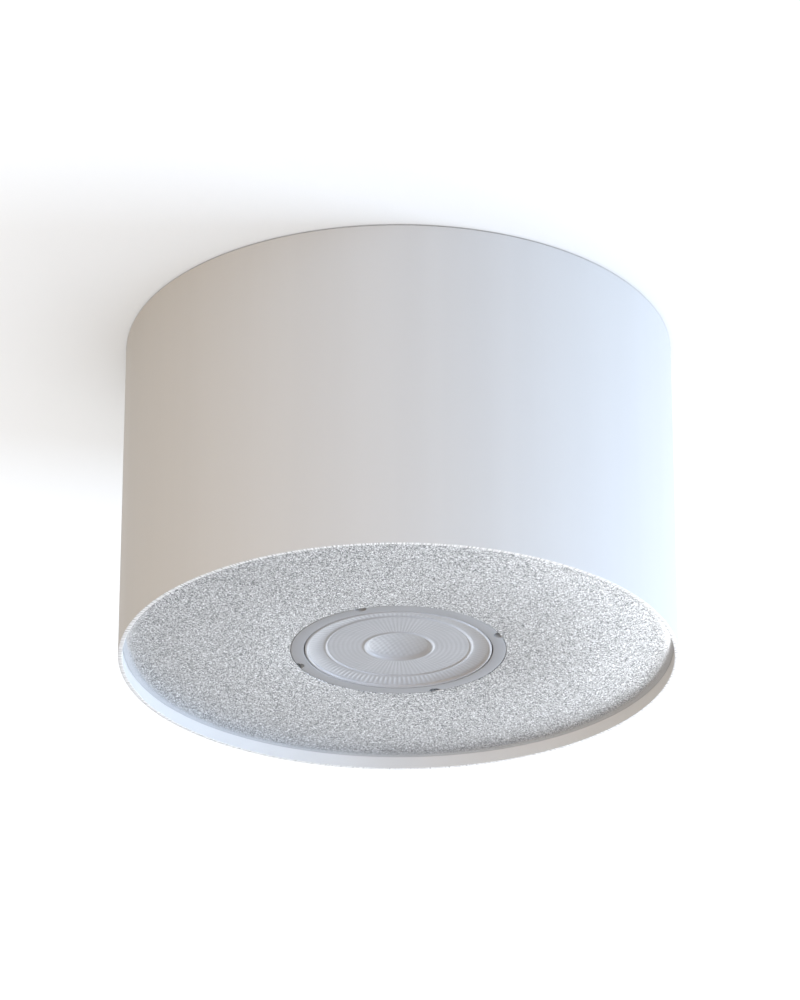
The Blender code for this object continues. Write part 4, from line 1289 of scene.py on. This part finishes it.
@dataclass
class Stage:
    """Ceiling, lamps, world and camera."""

    reach: float = 6.0
    opening: float = 62.0 * MM
    ceiling_steps: int = 128
    # Reach and samples of the painted shade that darkens the ceiling's glow near the drum.
    corner: float = 90.0 * MM
    corner_samples: int = 4
    ceiling_glow: float = 0.63
    ceiling_colour: Colour = (0.64, 0.64, 0.64)
    ceiling_roughness: float = 0.9
    ambient: float = 0.36
    camera_place: Triple = (0.0, -1029.4 * MM, -535.0 * MM)
    pitch: float = 25.76
    focal_pixels: float = 4849.7
    image_height: float = 1000.0
    image_shift: float = 1.6
    sensor: float = 36.0
    clip_start: float = 10.0 * MM
    lamps: tuple[SoftLamp, ...] = (
        SoftLamp("key", (0.64, 0.08, -0.40), 3.9, 0.34, (0.65, 0.80, 1.0)),
        SoftLamp("side", (0.75, -0.75, -0.40), 3.1, 0.8, (0.66, 0.79, 1.0)),
        SoftLamp("fill", (-1.17, -0.79, -0.16), 4.85, 0.9, (1.0, 0.63, 0.20)),
        SoftLamp("front", (-0.1, -1.05, -0.45), 2.4, 0.8, (1.0, 0.97, 0.98)),
        SoftLamp("glare", (0.32, 0.58, -0.35), 1.4, 0.5, (0.95, 0.98, 1.0)),
        SoftLamp("top", (0.25, -0.30, 0.70), 6.0, 0.5, (1.0, 0.98, 0.95)),
    )

    def build(self) -> None:
        """Make everything round the object."""
        self.build_ceiling()
        for lamp in self.lamps:
            lamp.build(middle_of("drum"))
        self.build_world()
        self.build_camera()

    def build_ceiling(self) -> None:
        """Make the pale ceiling, which shows only from below and takes the soft shadow; its glow carries
        painted shade, darker near the drum.
        """
        mesh = lathe([(self.opening, 0.0), (self.reach, 0.0)], self.ceiling_steps, False)
        upward = [face for face in mesh.faces if face.normal.z > 0]
        bmesh.ops.reverse_faces(mesh, faces=upward)
        graph = Graph("pale_ceiling")
        graph.set("Base Color", (*self.ceiling_colour, 1.0))
        graph.set("Roughness", self.ceiling_roughness)
        graph.set("Specular IOR Level", 0.0)
        # Painted shade: ambient occlusion darkens the ceiling's glow near the drum, beyond the lamps' real
        # shadow.
        reach = {"Distance": self.corner}
        painted_corner_shade = graph.add("ShaderNodeAmbientOcclusion", reach, samples=self.corner_samples).outputs["AO"]
        level = graph.math("MULTIPLY", graph.math("MULTIPLY", graph.seen_ray(), painted_corner_shade), self.ceiling_glow)
        glow = graph.add("ShaderNodeEmission", {"Strength": level})
        lit = graph.add("ShaderNodeAddShader", {0: graph.shader.outputs[0], 1: glow.outputs[0]})
        clear = graph.add("ShaderNodeBsdfTransparent")
        behind = graph.add("ShaderNodeNewGeometry").outputs["Backfacing"]
        both = graph.add("ShaderNodeMixShader", {0: behind, 1: lit.outputs[0], 2: clear.outputs[0]})
        graph.tree.links.new(both.outputs[0], graph.output.inputs["Surface"])
        add_object("ceiling", mesh, graph.material)

    def build_world(self) -> None:
        """Set an even world that shows white and lights a little."""
        world = bpy.data.worlds.new("studio")
        bpy.context.scene.world = world
        world.use_nodes = True
        nodes = Nodes(world.node_tree)
        level = nodes.span(nodes.seen_ray(), (self.ambient, 1.0))
        background = nodes.tree.nodes["Background"]
        background.inputs["Color"].default_value = (1.0, 1.0, 1.0, 1.0)
        nodes.tree.links.new(level, background.inputs["Strength"])

    def build_camera(self) -> None:
        """Add the camera below the ceiling, looking up at the drum."""
        data = bpy.data.cameras.new("camera")
        data.sensor_width = self.sensor
        data.lens = self.focal_pixels * self.sensor / self.image_height
        data.shift_x = self.image_shift / self.image_height
        data.clip_start = self.clip_start
        camera = bpy.data.objects.new("camera", data)
        camera.location = self.camera_place
        camera.rotation_euler = (math.radians(90.0 + self.pitch), 0.0, 0.0)
        bpy.context.scene.collection.objects.link(camera)
        bpy.context.scene.camera = camera


def main() -> None:
    """Dress the spotlight and set up its stage."""
    logging.basicConfig(level=logging.INFO)
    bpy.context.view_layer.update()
    shop = Workshop()
    drum = Drum(shop)
    assemblies: list[Assembly] = [drum, FacePlate(shop, drum), LampFace(shop), LampShell(shop)]
    assemblies += [Screws(shop), TurnedParts(shop), SheetAndMouldings(shop), Leads(shop)]
    for assembly in assemblies:
        assembly.build()
    shop.dress_rest()
    Stage().build()
    bpy.context.scene.view_settings.view_transform = "Standard"


if __name__ == "__main__":
    main()
